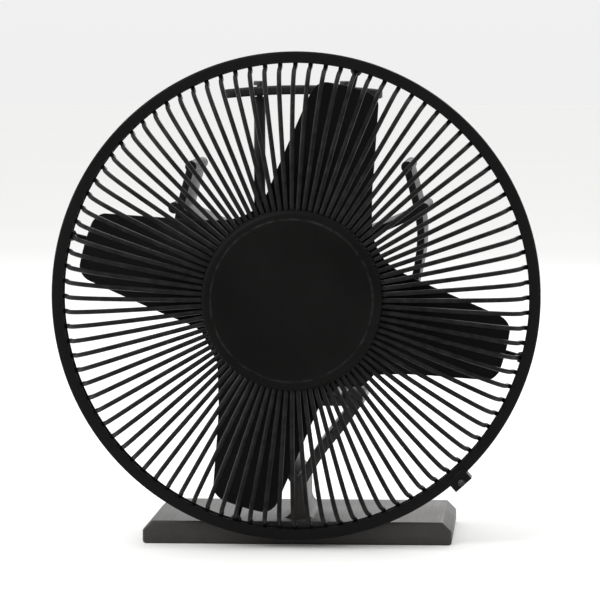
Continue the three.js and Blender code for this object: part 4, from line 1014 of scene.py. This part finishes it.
def wire_path():
    """A guard wire as (radius, y) pairs, from its rim ring over the dome to the inner ring."""
    start = Vector((RING_RADIUS, FRONT_RING_Y))
    corner = Vector((DOME_RADIUS, FRONT_RING_Y - WIRE_RADIUS / 2))
    dome_back = FRONT_RING_Y - WIRE_RADIUS
    bend_end = Vector((DOME_RADIUS, dome_back - BEND))
    path = [start.lerp(corner, t).lerp(corner.lerp(bend_end, t), t) for t in BEND_SHARES]
    power = 2 / DOME_POWER
    for step in range(1, DOME_STEPS + 1):
        turn = math.pi / 4 * (1 - math.cos(math.pi * step / DOME_STEPS))
        across, forward = max(math.cos(turn), 0) ** power, math.sin(turn) ** power
        point = Vector((lerp(INNER_FACE, DOME_RADIUS, across), dome_back - DOME_DEPTH * forward))
        if point.y < bend_end.y - NEAR:
            path.append(point)
    path.append(Vector((INNER_RING, DOME_FRONT_Y)))
    return path


def guard():
    wires = bmesh.new()
    path = wire_path()
    for turn in even_turns(WIRE_COUNT):
        out, aside = directions(turn)
        sweep(wires, [AXIS + out * radius + Y * y for radius, y in path], WIRE_RADIUS, aside)
        bead(wires, AXIS + out * (RING_RADIUS - RING_WIRE) + Y * FRONT_RING_Y, BEAD_RADIUS)
    ring_wire(wires, RING_RADIUS, FRONT_RING_Y, RING_WIRE)
    ring_wire(wires, INNER_RING, DOME_FRONT_Y, RING_WIRE)
    piece("guard_wires", wires, "guard_black", nodes=["guard_grille"])
    wall_inside = RIM_OUTER - RIM_WALL
    turned("rim", [
        (RIM_LIP, RIM_FRONT), (RIM_OUTER, RIM_FRONT), (RIM_OUTER, RIM_BACK), (RIM_LIP, RIM_BACK),
        (RIM_LIP, RIM_BACK - RIM_WALL), (wall_inside, RIM_BACK - RIM_WALL),
        (wall_inside, RIM_FRONT + RIM_WALL), (RIM_LIP, RIM_FRONT + RIM_WALL),
    ], "guard_black", "rim_band", ease=RIM_EASE, sides=RIM_SIDES)


def rear_frame():
    made = bmesh.new()
    for turn in FRAME_ARMS:
        out, aside = directions(math.radians(turn))
        start = AXIS + out * ARM_START + Y * FRAME_FRONT
        end = AXIS + out * (RING_RADIUS - RING_WIRE / 2) + Y * REAR_RING_Y
        sweep(made, [start.lerp(end, step / FIN_STEPS) for step in range(FIN_STEPS + 1)], ARM_WIRE, aside)
        bead(made, end - out * RING_WIRE, ARM_BEAD_RADIUS)
        bead(made, start, ARM_BEAD_RADIUS)
    openings = [circle(FRAME_BORE, ROUND_SIDES), *quarter_circles(BUSH_BORE, PORT_CIRCLE)]
    outlines = section([circle(FRAME_PLATE, ROUND_SIDES)], openings)
    prism(made, outlines, FRAME_FRONT, FRAME_BACK, FINE_EASE)
    ring_wire(made, RING_RADIUS, REAR_RING_Y, RING_WIRE)
    piece("frame_behind", made, "guard_black", nodes=["guard_rear_frame"])
    for number, turn in enumerate(QUARTERS, 1):
        place = AXIS + PORT_CIRCLE * directions(math.radians(turn))[0] + Y * GUARD_SCREW_SEAT
        screw(f"frame_screw_{number}", "black_steel", f"guard_screw_{number}", place, Y,
              SHANK, GUARD_SCREW_LENGTH)


def rim_clip():
    out, aside = directions(math.radians(CLIP_ANGLE))
    body = bmesh.new()
    outline = vectors(
        (CLIP_JAW_END, CLIP_FRONT), (CLIP_TOP, CLIP_FRONT), (CLIP_TOP, CLIP_BACK), (CLIP_JAW_END, CLIP_BACK),
        (CLIP_JAW_END, CLIP_BACK - CLIP_JAW), (CLIP_BOTTOM, CLIP_BACK - CLIP_JAW),
        (CLIP_BOTTOM, CLIP_FRONT + CLIP_JAW), (CLIP_JAW_END, CLIP_FRONT + CLIP_JAW),
    )
    prism(body, [eased(outline, 2 * CLIP_EASE, FINE_EASE)], -CLIP_HALF, CLIP_HALF, CLIP_EASE,
          lambda radius, along, y: AXIS + out * radius + aside * along + Y * y)
    piece("band_clip", body, "guard_black", nodes=["rim_clip"])
    centre = AXIS + out * CLIP_JAW_HEIGHT
    screw("band_bolt", "black_steel", "rim_clip_screw", centre + Y * CLIP_SCREW_SEAT, Y,
          CLIP_SCREW, CLIP_SCREW_LENGTH, CLIP_SCREW_HEAD, CLIP_JAW)
    turned("band_nut", [
        (CLIP_NUT_BORE, CLIP_NUT_FRONT), (CLIP_SCREW_HEAD, CLIP_NUT_FRONT),
        (CLIP_SCREW_HEAD, CLIP_NUT_BACK), (CLIP_NUT_BORE, CLIP_NUT_BACK),
    ], "black_steel", "rim_clip_nut", ease=0, sides=NUT_SIDES, origin=centre)


def centre_cap():
    crown = [(radius, CAP_FRONT + CAP_CROWN * (radius / CAP_DISH_RADIUS) ** 2) for radius in
             (CAP_DISH_RADIUS * step / CROWN_STEPS for step in range(CROWN_STEPS + 1))]
    start, depth = CAP_FRONT + CAP_STEP, CAP_EDGE - CAP_STEP
    edge = [(CAP_RADIUS - CAP_EDGE * (1 - math.sin(t)), start + depth * (1 - math.cos(t))) for t in ARC_TURNS]
    turned("cap", [
        *crown, (CAP_DISH_RADIUS + CAP_DISH_DEPTH, CAP_FRONT + CAP_CROWN + CAP_DISH_DEPTH), *edge,
        (CAP_RADIUS, CAP_BACK), (CAP_BOSS, CAP_BACK), (CAP_BOSS, CAP_BOSS_BACK), (0, CAP_BOSS_BACK),
    ], "cap_black", "centre_cap", ease=0.0, sides=RIM_SIDES)
    turned("cap_washer", [
        (SHANK, RETAINER_FRONT), (RETAINER, RETAINER_FRONT), (RETAINER, RETAINER_BACK),
        (SHANK, RETAINER_BACK),
    ], "cap_black", "cap_retainer")
    screw("cap_bolt", "black_steel", "cap_screw", AXIS + Y * CAP_SCREW_SEAT, -Y,
          SHANK - HOLE_GAP, CAP_SCREW_LENGTH)


guard()
rear_frame()
rim_clip()
centre_cap()


# Stage, light and camera

def floor():
    bm = bmesh.new()
    corners = rectangle(FLOOR_HALF, -FLOOR_HALF, FLOOR_HALF)
    bm.faces.new([bm.verts.new((x, y, 0)) for x, y in corners])
    mesh = bpy.data.meshes.new("floor")
    bm.to_mesh(mesh)
    bm.free()
    made = Finish("floor")
    made.set("Base Color", made.tone(made.noise(FLOOR_SCALE), *FLOOR_TONES))
    made.set("Roughness", FLOOR_ROUGHNESS)
    made.set("Specular IOR Level", FLOOR_GLEAM)
    mesh.materials.append(made.material)
    plane = bpy.data.objects.new("floor", mesh)
    bpy.context.scene.collection.objects.link(plane)
    plane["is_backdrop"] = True


def softbox(name, place, size, power):
    lamp = bpy.data.lights.new(name, "AREA")
    lamp.shape = "RECTANGLE"
    lamp.size, lamp.size_y = size
    lamp.energy = power
    holder = bpy.data.objects.new(name, lamp)
    holder.location = place
    holder.rotation_euler = (AIM - Vector(place)).to_track_quat("-Z", "Y").to_euler()
    bpy.context.scene.collection.objects.link(holder)


def camera():
    azimuth, elevation = math.radians(CAMERA_AZIMUTH), math.radians(CAMERA_ELEVATION)
    back = Vector((math.sin(azimuth) * math.cos(elevation), -math.cos(azimuth) * math.cos(elevation),
                   math.sin(elevation)))
    lens = bpy.data.cameras.new("camera")
    lens.sensor_width = SENSOR
    lens.lens = SENSOR * CAMERA_DISTANCE / VIEW_WIDTH
    holder = bpy.data.objects.new("camera", lens)
    holder.location = AIM + back * CAMERA_DISTANCE
    holder.rotation_euler = (-back).to_track_quat("-Z", "Y").to_euler()
    bpy.context.scene.collection.objects.link(holder)
    bpy.context.scene.camera = holder


def studio():
    world = bpy.data.worlds.new("studio")
    world.use_nodes = True
    tree = world.node_tree
    background = tree.nodes["Background"]
    direction = tree.nodes.new("ShaderNodeTexCoord").outputs["Generated"]
    parts = tree.nodes.new("ShaderNodeSeparateXYZ")
    rise = tree.nodes.new("ShaderNodeMapRange")
    rise.inputs["From Max"].default_value = SKY_RISE
    rise.inputs["To Min"].default_value = HORIZON_SHARE
    tree.links.new(direction, parts.inputs["Vector"])
    tree.links.new(parts.outputs["Z"], rise.inputs["Value"])
    tree.links.new(rise.outputs["Result"], background.inputs["Color"])
    background.inputs["Strength"].default_value = WORLD_STRENGTH
    bpy.context.scene.world = world
    bpy.context.scene.view_settings.view_transform = "Standard"
    for name, place, size, power in SOFTBOXES:
        softbox(name, place, size, power)


floor()
camera()
studio()

low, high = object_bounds()
